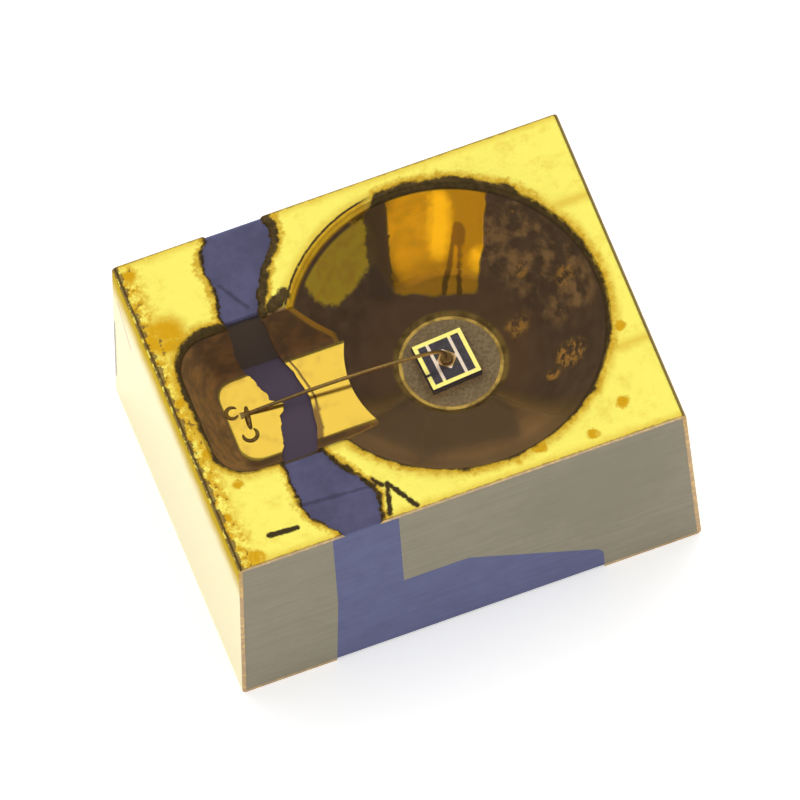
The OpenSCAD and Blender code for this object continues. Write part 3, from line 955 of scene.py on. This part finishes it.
def top_marks(at):
    """Masks on the top: orange stains, brown specks, and the black dash and scratches."""
    blurred = swing(at.cloud, 0.16)
    stains = most(*(near_point(at.plan, point, radius, blurred) for point, radius in STAINS))
    margin = ramp(plus(at.x, swing(at.cloud, 0.25)), -1.33, -1.45)
    side = calc("SUBTRACT", half_width, calc("ABSOLUTE", at.y))
    nearest = calc("MINIMUM", calc("ABSOLUTE", at.off_rim), side)
    nearest = calc("MINIMUM", nearest, calc("ABSOLUTE", at.off_pocket))
    worn = ramp(plus(nearest, swing(at.cloud, 0.12)), 0.07, 0.0)
    granular = times(margin, ramp(at.spots, 0.36, 0.58), 0.9)
    orange = most(times(stains, ramp(at.cloud, 0.15, 0.45)), granular, times(worn, 0.5))
    dash = ramp(plus(off_stroke(at.plan, *DASH), swing(at.spots, 0.03)), 0.026, 0.014)
    wavy = swing(at.spots, 0.04)
    scratches = [ramp(plus(off_stroke(at.plan, *line), wavy), 0.024, 0.008) for line in SCRATCHES]
    side_line = ramp(plus(side, swing(at.spots, 0.03)), 0.012, 0.004)
    specks = ramp(calc("SUBTRACT", at.spots, calc("MULTIPLY_ADD", margin, -0.10, 0.735)), 0.0, 0.035)
    bitten = swing(noise(at.spot, 13, detail=4, rough=0.65), 0.17)
    chipped = ramp(plus(at.x, half_crown - EDGE_RADIUS, bitten), 0.006, -0.008)
    return orange, most(specks, chipped, times(side_line, 0.7)), most(dash, *scratches)


print("stains:", len(STAINS), "scratches:", len(SCRATCHES))

# %% [markdown]
# In the amber window a bright streak lies beside a chain of dark blots, both painted reflections. A dark
# stripe runs down its left side, an olive film covers the wall beyond that, the right side is speckled, and
# one flare of crumbled gold lies lower down.

# %% Mark the cup
WALL_STRIPE = (0.222, 1.060), (0.085, 0.590)
# Painted reflections: dark blots in the amber window.
REFLECTION_BLOTS = (
    ((0.678, 0.735), (0.660, 0.700), 0.040),
    ((0.610, 0.680), (0.465, 0.465), 0.016),
    ((0.655, 0.670), (0.555, 0.430), 0.014),
)
FILM = (-0.270, 0.665), (0.020, 0.850)
SPECKLED = (0.930, 0.600), (1.170, 0.060)
FLECKS = (((0.964, 0.356), 0.055), ((1.205, 0.160), 0.09), ((0.822, 0.066), 0.10))
FLARE = (((1.039, -0.348), 0.13), ((0.894, -0.415), 0.06))
# Painted highlights: bright streaks in the amber window.
HIGHLIGHT_STREAKS = ((0.612, 0.905), (0.525, 0.705)), ((0.735, 0.540), (0.727, 0.500))


def cup_marks(at):
    """Masks on the cup's wall: stripe, film, mottled side, golden flecks, painted blots and bright spots."""
    lumps = noise(at.spot, 17, detail=5, rough=0.7)
    ragged = plus(swing(lumps, 0.09), swing(at.cloud, 0.05))
    stripe = ramp(plus(off_stroke(at.plan, *WALL_STRIPE), ragged), 0.085, 0.060)
    # Painted reflection: the dark blots.
    reflection_blots = []
    for start, end, half in REFLECTION_BLOTS:
        away = plus(off_stroke(at.plan, start, end), times(ragged, 0.8))
        reflection_blots.append(ramp(away, half + 0.008, half - 0.004))
    speckled = ramp(plus(off_stroke(at.plan, *SPECKLED), ragged), 0.26, 0.12)
    mottled = times(speckled, ramp(noise(at.spot, 9, detail=3, rough=0.55), 0.42, 0.66))
    film = times(ramp(plus(off_stroke(at.plan, *FILM), ragged), 0.155, 0.12), ramp(at.depth, 0.085, 0.110))
    flare = most(*(near_point(at.plan, point, radius) for point, radius in FLARE))
    loose = most(*(near_point(at.plan, point, radius) for point, radius in FLECKS))
    flecks = most(times(speckled, ramp(lumps, 0.60, 0.72), 0.6), times(loose, ramp(lumps, 0.42, 0.6), 0.8),
                  times(flare, ramp(lumps, 0.47, 0.56)))
    # Painted highlight: the bright streak.
    bright = most(*(ramp(plus(off_stroke(at.plan, *line), ragged), 0.100, 0.025) for line in HIGHLIGHT_STREAKS))
    return SimpleNamespace(stripe=stripe, reflection_blots=most(*reflection_blots), film=film, mottled=mottled, flecks=flecks,
                           bright=bright)


print("cup marks:", 2 + len(REFLECTION_BLOTS) + len(FLECKS) + len(FLARE))

# %% [markdown]
# The pocket's walls are dull and mottled brown, its floor is bright where the wire was bonded and brown along
# its foot, and a dark hairline runs beside the stripe. The crest where the pocket breaks into the cup carries
# a painted highlight, an orange line. The ledge round the adhesive is dull.

# %% Mark the pocket and the cup's foot
FLOOR_SMUDGE = (-1.20, 0.32), (-1.02, 0.36)


def pocket_marks(at):
    """Masks of the pocket's floor, its brown places, the dark hairline and the painted highlight on the
    crest.
    """
    not_deeper = ramp(at.depth, POCKET_DEPTH + 0.12, POCKET_DEPTH + 0.06)
    floor = times(at.inside, ramp(at.slope, 0.93, 0.985), not_deeper)
    foot = plus(at.off_pocket, POCKET_DEPTH * POCKET_LEAN, swing(at.cloud, 0.16))
    smudge = ramp(plus(off_stroke(at.plan, *FLOOR_SMUDGE), swing(at.cloud, 0.16)), 0.10, 0.03)
    brown = most(ramp(foot, -0.045, 0.01), smudge, times(ramp(at.cloud, 0.50, 0.72), 0.55))
    hairline = ramp(calc("ABSOLUTE", plus(at.off_cup_edge, -0.030, swing(at.cloud, 0.02))), 0.011, 0.005)
    by_stripe = ramp(plus(at.off_cup_edge, swing(at.spots, 0.05)), 0.055, 0.035)
    low_band = times(by_stripe, ramp(at.y, -0.02, -0.10), ramp(at.off_cup_edge, -0.04, -0.02))
    # Painted highlight: an orange line along the crest where the pocket meets the cup.
    past_cup = plus(times(at.radius, at.radius), calc("MULTIPLY", at.depth, cup_fall), -CUP_RADIUS**2)
    by_cup = ramp(plus(past_cup, swing(at.cloud, 0.05)), 0.085, 0.045)
    crest = times(at.pocket_wall, by_cup, ramp(at.x, -0.72, -0.68))
    return floor, brown, times(floor, most(hairline, low_band)), crest


def cup_ledge(at):
    """Mask of the flat ledge round the adhesive."""
    return times(at.inside, ramp(at.depth, cup_depth - 0.03, cup_depth - 0.012))


# %% [markdown]
# Each plated end is paler and brighter low down and deeper yellow higher up, which is painted light, and its
# reflections are tinted yellow higher up too. Along its upper edge it is darker, where dirt sits in the
# rounded corner. The end beside the pocket has a brown smear and one dark mark.

# %% Mark the plated ends
END_SMEAR = (1.066, 0.33), (0.857, 0.52)
END_MARK = (1.17, 0.72), (1.17, 1.42)


def end_marks(at):
    """Masks on the two plated ends: corner, dirt, the whole face, how low a place lies, smear and mark."""
    past_middle = without(at.middle)
    edge = times(ramp(at.slope, 0.98, 0.9), ramp(at.slope, 0.15, 0.35), ramp(at.depth, 0.2, 0.1))
    corner = times(past_middle, edge)
    dirty = times(corner, most(ramp(at.spots, 0.40, 0.50), ramp(at.x, 0.0, 0.1)))
    face = times(past_middle, ramp(at.slope, 0.6, 0.3))
    low = ramp(plus(at.depth, swing(at.cloud, 0.16)), 0.06, 0.42)
    left_end = times(ramp(at.x, 0.0, -0.1), past_middle, ramp(at.slope, 0.4, 0.2))
    smear = ramp(plus(off_stroke(at.end_plan, *END_SMEAR), swing(at.cloud, 0.06)), 0.045, 0.010)
    mark = ramp(plus(off_stroke(at.end_plan, *END_MARK), swing(at.spots, 0.02)), 0.030, 0.018)
    return SimpleNamespace(corner=corner, dirty=dirty, face=face, low=low, smear=times(left_end, smear),
                           mark=times(left_end, mark))


print("end marks at (y, depth):", END_SMEAR[0], END_MARK[0])

# %% [markdown]
# Now the masks are laid over each other, from the whole surface down to single marks, as one would paint
# them. The colours come first. Where two stand together, a mask mixes them over the mark.

# %% Choose the gold's colours
GOLD, OLD_GOLD, ORANGE_GOLD = (0.94, 0.84, 0.150), (0.66, 0.36, 0.012), (0.58, 0.33, 0.018)
TARNISH, INK = (0.22, 0.135, 0.045), (0.055, 0.038, 0.016)
BURNT = (0.060, 0.038, 0.010), (0.105, 0.066, 0.020)
COPPERS = (0.50, 0.35, 0.20), (0.68, 0.47, 0.20)
# Painted light: the ends' deeper yellow high up and pale gold low down, and the tint of their upper
# reflections.
END_PAINTED_LIGHT_GOLDS, END_PAINTED_LIGHT_TINT = ((0.56, 0.40, 0.05), (0.90, 0.81, 0.48)), (0.80, 0.66, 0.22)
END_SMEAR_TONE, END_MARK_TONE = (0.55, 0.38, 0.22), (0.20, 0.16, 0.09)
# The bright amber is the painted highlight in the window.
DEEP_GOLD, HIGHLIGHT_AMBER = (0.66, 0.455, 0.010), (1.00, 0.76, 0.02)
AMBERS, RIGHT_AMBER = (toned(DEEP_GOLD, 0.92), toned(DEEP_GOLD, 0.72)), toned(DEEP_GOLD, 0.62)
# The first amber here is the painted reflection at the window's foot.
FOOT_REFLECTION_AMBER, REFLECTION_BLOT_BROWN = (1.0, 0.56, 0.03), (0.20, 0.115, 0.012)
NEAR_WALL_TONES = (0.92, 0.64, 0.36), (0.58, 0.40, 0.23)
CHOCOLATE, SIENNA, TAN = (0.165, 0.108, 0.072), (0.36, 0.20, 0.105), (0.58, 0.37, 0.20)
FILM_OLIVES, FLECK_GOLD = ((0.92, 0.62, 0.06), (1.0, 0.80, 0.07)), (1.0, 0.60, 0.17)
POCKET_BROWNS = (0.24, 0.15, 0.09), (0.50, 0.27, 0.12)
END_WALL_BROWNS = (0.46, 0.29, 0.14), (0.84, 0.50, 0.20)
# The first colour here is the crest's painted highlight.
CREST_HIGHLIGHT_GOLD, FLOOR_GOLD, FLOOR_BROWN = (0.98, 0.66, 0.12), (0.80, 0.59, 0.105), (0.45, 0.25, 0.06)
LEDGE_TONES = (0.24, 0.16, 0.05), (0.62, 0.44, 0.13)
LIP_TONES = (0.74, 0.44, 0.020), (0.60, 0.32, 0.015)
print("gold:", GOLD, "amber:", DEEP_GOLD, "brown:", CHOCOLATE)


# %% Paint the gold
def gold_colour(at, marks):
    """The gold's colour, painted from the largest mask to the smallest."""
    right_side = ramp(plus(at.x, swing(at.cloud, 0.1)), 0.62, 0.70)
    brown_wall = times(at.dull_wall, without(at.window_foot))
    foot_ring = times(brown_wall, ramp(plus(at.radius, swing(at.cloud, 0.2)), 0.66, 0.46))
    end_wall = times(at.pocket_wall, ramp(at.lean_x, 0.2, 0.6))
    layers = (
        (times(ramp(at.cloud, 0.48, 0.75), 0.30), OLD_GOLD),
        (times(at.on_top, marks.orange), OLD_GOLD),
        (times(marks.scorched, 0.85), ORANGE_GOLD),
        (times(at.on_top, marks.specks, 0.85), TARNISH),
        (times(at.on_top, marks.ink), INK),
        # Painted light: each end is paler low down and deeper yellow higher up.
        (marks.end.face, blend(marks.end.low, *END_PAINTED_LIGHT_GOLDS)),
        (times(marks.end.smear, 0.6), END_SMEAR_TONE),
        (times(marks.end.mark, 0.9), END_MARK_TONE),
        (times(marks.end.dirty, 0.9), TARNISH),
        (at.wall, blend(ramp(at.cloud, 0.35, 0.68), *AMBERS)),
        (times(at.wall, right_side), RIGHT_AMBER),
        # Painted highlight: the bright streak in the window.
        (times(at.cup_wall, marks.cup.bright, 0.9), HIGHLIGHT_AMBER),
        (at.near_wall, blend(ramp(at.radius, 0.84, 0.96), *NEAR_WALL_TONES)),
        (brown_wall, blend(ramp(at.cloud, 0.36, 0.66), CHOCOLATE, toned(CHOCOLATE, 1.4))),
        (times(foot_ring, 0.4), SIENNA),
        # Painted reflection: amber paint on the window's foot.
        (times(at.dull_wall, at.window_foot), FOOT_REFLECTION_AMBER),
        # Painted reflection: the dark blots in the window.
        (times(at.cup_wall, marks.cup.reflection_blots, 0.9), REFLECTION_BLOT_BROWN),
        (times(at.dull_wall, marks.cup.mottled), TAN),
        (times(at.cup_wall, marks.cup.film), blend(ramp(at.cloud, 0.36, 0.60), *FILM_OLIVES)),
        (times(at.cup_wall, marks.cup.stripe, 0.9), CHOCOLATE),
        (times(at.cup_wall, marks.cup.flecks), FLECK_GOLD),
        (times(at.pocket_wall, 0.95), blend(ramp(at.cloud, 0.35, 0.7), *POCKET_BROWNS)),
        (end_wall, blend(ramp(at.cloud, 0.35, 0.65), *END_WALL_BROWNS)),
        # Painted highlight along the crest.
        (marks.crest, CREST_HIGHLIGHT_GOLD),
        (marks.floor, FLOOR_GOLD),
        (times(marks.floor, marks.brown, 0.75), FLOOR_BROWN),
        (marks.hairline, TARNISH),
        (cup_ledge(at), blend(ramp(at.cloud, 0.35, 0.6), *LEDGE_TONES)),
        (at.lip, blend(ramp(at.cloud, 0.35, 0.65), *LIP_TONES)),
        (marks.burnt, blend(ramp(at.spots, 0.35, 0.70), *BURNT)),
        (at.cut, blend(ramp(at.spots, 0.45, 0.65), *COPPERS)),
    )
    colour = GOLD
    for share, tone in layers:
        colour = blend(share, colour, tone)
    return colour


# %% [markdown]
# A dusty or burnt place no longer mirrors. It is made less metallic there, so that it scatters light like
# paint, and rougher. The painted reflection at the window's foot lies in the dull wall and is made less
# metallic as well. The grain of the top and the crumbled places get a slight relief.

# %% Make the gold finish
GOLD_RELIEF = 0.0016


def gold_marks(at):
    """All masks of the gold, by name."""
    marks = SimpleNamespace()
    marks.burnt, marks.scorched = burnt_edges(at)
    marks.orange, marks.specks, marks.ink = top_marks(at)
    marks.end = end_marks(at)
    marks.cup = cup_marks(at)
    marks.floor, marks.brown, marks.hairline, marks.crest = pocket_marks(at)
    return marks


def plated_gold():
    """The one material of all the plating."""
    made, tree, shader = new_finish("plated gold")
    at = measure_gold(tree)
    part_cup_wall(at)
    marks = gold_marks(at)
    tree.links.new(gold_colour(at, marks), shader.inputs["Base Color"])
    # Painted light in the reflections: the upper part of each end mirrors with a yellow tint.
    upper_end_painted_light = times(marks.end.face, without(marks.end.low))
    tree.links.new(blend(upper_end_painted_light, (1.0, 1.0, 1.0), END_PAINTED_LIGHT_TINT), shader.inputs["Specular Tint"])
    # The crest's painted highlight stays metallic.
    soft_wall = times(at.pocket_wall, calc("MULTIPLY_ADD", marks.crest, -0.7, 0.9))
    matt = most(at.dull_wall, soft_wall, times(at.cup_wall, most(marks.cup.film, marks.cup.stripe)))
    dusty = most(times(matt, calc("MULTIPLY_ADD", marks.cup.flecks, -0.5, 0.97)), times(at.near_wall, 0.13),
                 times(marks.burnt, 0.92), times(at.lip, 0.85))
    shader.inputs["Specular IOR Level"].default_value = 0.12
    tree.links.new(without(dusty), shader.inputs["Metallic"])

    satin = calc("MULTIPLY_ADD", at.grain, 0.14, 0.26)
    polish = calc("MULTIPLY_ADD", at.grain, 0.03, 0.035)
    rough = plus(times(satin, without(at.inside)), times(polish, at.inside))
    worn = times(matt, calc("MULTIPLY_ADD", at.window_foot, -0.5, 0.5))
    dull = most(worn, times(at.pocket_wall, 0.34), times(marks.burnt, 0.4), times(at.cut, 0.2),
                times(at.near_wall, 0.08), times(marks.end.corner, 0.15), times(marks.floor, 0.12),
                times(cup_ledge(at), 0.3))
    tree.links.new(plus(rough, dull), shader.inputs["Roughness"])
    pitted = times(at.on_top, plus(at.grain, times(marks.specks, -0.8), times(marks.burnt, -0.8)))
    dented = times(most(times(at.cup_wall, marks.cup.flecks), times(at.pocket_wall, 0.6)), at.spots, 2.5)
    relief(shader, plus(pitted, dented), GOLD_RELIEF)
    return made


gold_finish = plated_gold()
for piece in (wire_plating, cup_plating):
    wear(piece, gold_finish)
print("gold nodes:", len(gold_finish.node_tree.nodes))

# %% [markdown]
# ## The two plastics
# Both plastics are filled with mineral powder, so a sawn face is matt and cloudy with fine streaks along the
# saw's path. Noise that is stretched along the length gives the streaks, and the same streaks drive a bump.
# Faces that the mould made are smoother and darker than the sawn ones, with a crease or two. Down in the
# pocket the violet's floor is deep in colour, and its steep walls are painted a dull grey-brown as painted
# shade.

# %% Make the plastics' finish
CREASES = ((-1.02, -0.86), (-0.48, -0.90)), ((-0.928, 0.814), (-0.813, 0.608))
SHADE = 0.95, 1.15


def sawn_plastic(name, pale, dark, skin, deep, steep_shade, streak_share):
    """A plastic with two sawn tones, a moulded skin, and its pocket tones, with painted shade on steep walls.
    """
    made, tree, shader = new_finish(name)
    spot, x, y, z = place(tree)
    slope = add(tree, "SeparateXYZ", add(tree, "NewGeometry").outputs["Normal"]).outputs[2]
    cloud = noise(spot, 5, detail=6, rough=0.65)
    streaks = noise(spot, 1.0, detail=5, rough=0.7, stretch=(2.2, 2.2, 34))
    fine = noise(spot, 55, detail=3)
    tone = plus(times(streaks, streak_share), times(cloud, 1 - streak_share), swing(fine, 0.25))
    sawn = ramp(calc("ABSOLUTE", y), half_width - 0.02, half_width - 0.002)
    plan = add(tree, "CombineXYZ", x, y, 0.0).outputs[0]
    wavy = swing(cloud, 0.05)
    creases = most(*(ramp(plus(off_stroke(plan, *line), wavy), 0.022, 0.004) for line in CREASES))
    moulded = blend(ramp(cloud, 0.35, 0.65), toned(skin, 0.75), skin)
    moulded = blend(times(creases, 0.6), moulded, toned(skin, 0.3))
    off_ends = ramp(calc("ABSOLUTE", x), half_foot - 0.05, half_foot - 0.10)
    sunk = times(ramp(z, top_z - 0.06, top_z - 0.10), off_ends)
    # Painted shade: down in the pocket, steep faces are darker than the floor.
    moulded = blend(sunk, moulded, blend(ramp(slope, 0.7, 0.95), steep_shade, deep))
    side_plan = add(tree, "CombineXYZ", x, z, 0.0).outputs[0]
    shade = times(near_point(side_plan, SHADE, 0.75, swing(cloud, 0.3)), 0.55)
    colour = blend(sawn, moulded, blend(shade, blend(ramp(tone, 0.18, 0.82), dark, pale), dark))
    tree.links.new(colour, shader.inputs["Base Color"])
    tree.links.new(calc("MULTIPLY_ADD", fine, 0.25, 0.48), shader.inputs["Roughness"])
    shader.inputs["Specular IOR Level"].default_value = 0.3
    relief(shader, plus(times(streaks, sawn), calc("MULTIPLY", fine, 0.4)), 0.0014)
    return made


GREY_SKIN = 0.2, 0.18, 0.13
grey_finish = sawn_plastic(
    "grey platable plastic", pale=(0.340, 0.300, 0.21), dark=(0.25, 0.222, 0.148), skin=GREY_SKIN,
    deep=GREY_SKIN, steep_shade=GREY_SKIN, streak_share=0.6)
# The violet's steep walls in the pocket get a darker tone, which is painted shade.
violet_finish = sawn_plastic(
    "violet bare plastic", pale=(0.135, 0.147, 0.29), dark=(0.088, 0.094, 0.20), skin=(0.100, 0.094, 0.188),
    deep=(0.190, 0.155, 0.37), steep_shade=(0.21, 0.175, 0.19), streak_share=0.45)
for name in ("wire_end_block", "cup_end_block"):
    wear(nodes[name], grey_finish)
wear(nodes["insulator"], violet_finish)

# %% [markdown]
# ## Resin, adhesive, chip, contact and wire
# The resin is clear with a warm tint. The photo shows hardly any mirror image on it, so its Specular Tint is
# low. Lamps would have to find their way in through it by chance, which is slow to render, so for shadow rays
# alone it lets the light straight through.


# %% Make the resin's finish
def clear_resin():
    """Clear and slightly wavy, with an open way for shadow rays."""
    made, tree, shader = new_finish("clear resin")
    shader.inputs["Base Color"].default_value = (0.97, 0.88, 0.62, 1)
    shader.inputs["Transmission Weight"].default_value = 1.0
    shader.inputs["IOR"].default_value = 1.48
    shader.inputs["Specular Tint"].default_value = (0.15, 0.15, 0.15, 1)
    spot = place(tree)[0]
    tree.links.new(calc("MULTIPLY", noise(spot, 3, detail=3), 0.02), shader.inputs["Roughness"])
    relief(shader, noise(spot, 1.4, detail=1), 0.006)
    through = add(tree, "BsdfTransparent", (0.97, 0.92, 0.76, 1))
    shadow = add(tree, "LightPath").outputs["Is Shadow Ray"]
    either = add(tree, "MixShader", shadow, shader.outputs[0], through.outputs[0])
    tree.links.new(either.outputs[0], tree.nodes["Material Output"].inputs["Surface"])
    return made


wear(resin, clear_resin())

# %% [markdown]
# The small pieces in the cup share one kind of finish, two tones in grains, and differ in colour and gloss.
# The contact's frame is bright gold, its inner bars are paler and its bond pad is brown. The distance from
# the chip's middle tells them apart.


# %% Make the adhesive's, chip's, contact's and wire's finishes
def grained(name, pale, dark, per_mm, metallic, rough, depth, inner=()):
    """A finish of two tones in grains. Inner lists distances from the chip's middle and the tones within."""
    made, tree, shader = new_finish(name)
    spot, x, y, _ = place(tree)
    grain = noise(spot, per_mm, detail=4, rough=0.6)
    colour = blend(ramp(grain, 0.35, 0.65), dark, pale)
    off_middle = most(calc("ABSOLUTE", plus(x, -CHIP_X)), calc("ABSOLUTE", y))
    for reach, tone in inner:
        colour = blend(ramp(off_middle, reach, reach - 0.012), colour, tone)
    tree.links.new(colour, shader.inputs["Base Color"])
    shader.inputs["Metallic"].default_value = metallic
    tree.links.new(calc("MULTIPLY_ADD", grain, 0.2, rough - 0.1), shader.inputs["Roughness"])
    relief(shader, grain, depth)
    return made


contact_inner = ((0.142, (0.80, 0.72, 0.78)), (0.066, (0.40, 0.25, 0.12)))
chip_inner = ((0.075, (0.040, 0.032, 0.060)),)
silver = grained("silver adhesive", (0.74, 0.60, 0.44), (0.48, 0.38, 0.27), 50, 0.2, 0.5, 0.002)
crystal = grained("chip crystal", (0.05, 0.04, 0.15), (0.026, 0.02, 0.085), 20, 0.0, 0.2, 0.0003, chip_inner)
contact = grained("contact gold", (1.0, 0.97, 0.40), (0.95, 0.90, 0.30), 60, 1.0, 0.24, 0.0004,
                  contact_inner)
drawn_gold = grained("gold wire", (0.80, 0.58, 0.26), (0.60, 0.42, 0.16), 50, 1.0, 0.34, 0.0008)
# The tool marks' dark brown is partly painted shade.
pressed_gold_and_shade = grained("pressed gold and painted shade", (0.46, 0.29, 0.08), (0.20, 0.115, 0.03), 60, 1.0, 0.4, 0.001)
wear(adhesive, silver)
wear(chip, crystal)
wear(nodes["chip_contact"], contact)
wear(wire, drawn_gold)
for ridge in tool_marks:
    wear(ridge, pressed_gold_and_shade)

# %% [markdown]
# ## Camera
# The photo is taken from far away with a long lens, 62.6 degrees above the floor and a little from the left,
# with the camera slightly tilted. A long lens at 0.2 m gives the same flat perspective.

# %% Set up the camera
AZIMUTH, ELEVATION, ROLL_ANGLE = math.radians(-16.299), math.radians(62.631), math.radians(-4.720)
CAMERA_DISTANCE, SENSOR = 200.0, 36.0
PIXELS_PER_MM, FRAME_PIXELS = 155.359, 800
AIM = Vector((0, 0, 0.8))
AIM_PIXEL = 403.74, 405.20

flat = math.cos(ELEVATION)
back = Vector((math.sin(AZIMUTH) * flat, -math.cos(AZIMUTH) * flat, math.sin(ELEVATION)))
level = Vector((math.cos(AZIMUTH), math.sin(AZIMUTH), 0))
rise = back.cross(level)
right = math.cos(ROLL_ANGLE) * level + math.sin(ROLL_ANGLE) * rise
up = math.cos(ROLL_ANGLE) * rise - math.sin(ROLL_ANGLE) * level
aside = (AIM_PIXEL[0] - FRAME_PIXELS / 2) / PIXELS_PER_MM
above = (FRAME_PIXELS / 2 - AIM_PIXEL[1]) / PIXELS_PER_MM
stand = AIM + back * CAMERA_DISTANCE - right * aside - up * above

camera = bpy.data.objects.new("camera", bpy.data.cameras.new("camera"))
bpy.context.scene.collection.objects.link(camera)
camera.data.sensor_width = SENSOR
camera.data.lens = SENSOR * CAMERA_DISTANCE * PIXELS_PER_MM / FRAME_PIXELS
camera.data.clip_start, camera.data.clip_end = 0.01, 20.0
camera.matrix_world = Matrix.Translation(stand * MM) @ Matrix((right, up, back)).transposed().to_4x4()
bpy.context.scene.camera = camera
print("lens", round(camera.data.lens, 1), "mm at", [round(v, 2) for v in stand], "mm")

# %% [markdown]
# ## Floor and light
# A pale floor, a large soft panel behind and above, which the flat gold mirrors towards the camera, and a
# dim studio all round. Polished gold shows that studio, so most of it is left dark, as a real one is. A card
# in front is seen only in reflections, so that the gold is bright from behind too. The floor has an even
# glow for what the camera sees, directly or in metal and resin, which makes it white without putting more
# light on the object. The lamps still draw the object's shadow on it.

# %% Lay the floor
FLOOR_GLOW = 0.38


def stage_floor(half=2):
    """A pale square floor that reaches that many metres to each side. It is no piece of the part."""
    corners = [(-half, -half, 0), (half, -half, 0), (half, half, 0), (-half, half, 0)]
    mesh = bpy.data.meshes.new("floor")
    mesh.from_pydata(corners, [], [(0, 1, 2, 3)])
    floor = bpy.data.objects.new("floor", mesh)
    bpy.context.scene.collection.objects.link(floor)
    made, tree, shader = new_finish("pale floor")
    shader.inputs["Base Color"].default_value = (0.93, 0.93, 0.93, 1)
    shader.inputs["Roughness"].default_value = 0.9
    shader.inputs["Specular IOR Level"].default_value = 0.0
    rays = add(tree, "LightPath").outputs
    seen = most(rays["Is Camera Ray"], rays["Is Glossy Ray"], rays["Is Transmission Ray"])
    shader.inputs["Emission Color"].default_value = (1, 1, 1, 1)
    tree.links.new(calc("MULTIPLY", seen, FLOOR_GLOW), shader.inputs["Emission Strength"])
    mesh.materials.append(made)
    return floor


print("floor:", stage_floor().name)


# %% Hang the lamps
def softbox(name, toward, distance, width, height, level, seen=True):
    """A panel lamp in a direction from the object, whose face shines at that level, where 1 is white."""
    lamp = bpy.data.lights.new(name, "AREA")
    lamp.shape, lamp.size, lamp.size_y = "RECTANGLE", width, height
    lamp.energy = level * math.pi * width * height
    panel = bpy.data.objects.new(name, lamp)
    bpy.context.scene.collection.objects.link(panel)
    where = Vector(toward).normalized()
    facing = where.to_track_quat("Z", "Y").to_matrix().to_4x4()
    panel.matrix_world = Matrix.Translation(where * distance) @ facing
    panel.visible_camera = False
    panel.visible_glossy = panel.visible_transmission = seen
    return panel


softbox("back panel", (0.13, 0.44, 0.89), 0.5, 0.60, 0.4, 1.12)
softbox("overhead fill", (0.0, 0.0, 1.0), 0.6, 1.2, 1.2, 0.8, seen=False)
softbox("left fill", (-1.0, -0.5, 0.5), 0.6, 0.6, 0.6, 0.8, seen=False)
front_card = softbox("front card", (0.0, -0.75, 0.66), 0.6, 1.3, 0.6, 0.8)
front_card.visible_diffuse = front_card.visible_transmission = False

# %% Light the studio
SKY_LOW, SKY_HIGH, SKY_FADE = (1.0, 1.0, 1.0), (0.09, 0.09, 0.09), (0.25, 0.45)
studio = bpy.data.worlds.new("studio")
bpy.context.scene.world = studio
studio.use_nodes = True
tree = studio.node_tree
direction = add(tree, "TexCoord").outputs["Generated"]
height = add(tree, "SeparateXYZ", direction).outputs[2]
sky = blend(ramp(height, *SKY_FADE), SKY_LOW, SKY_HIGH)
tree.links.new(sky, tree.nodes["Background"].inputs["Color"])
tree.nodes["Background"].inputs["Strength"].default_value = 1.0
bpy.context.scene.view_settings.view_transform = "Standard"
print("studio:", studio.name)
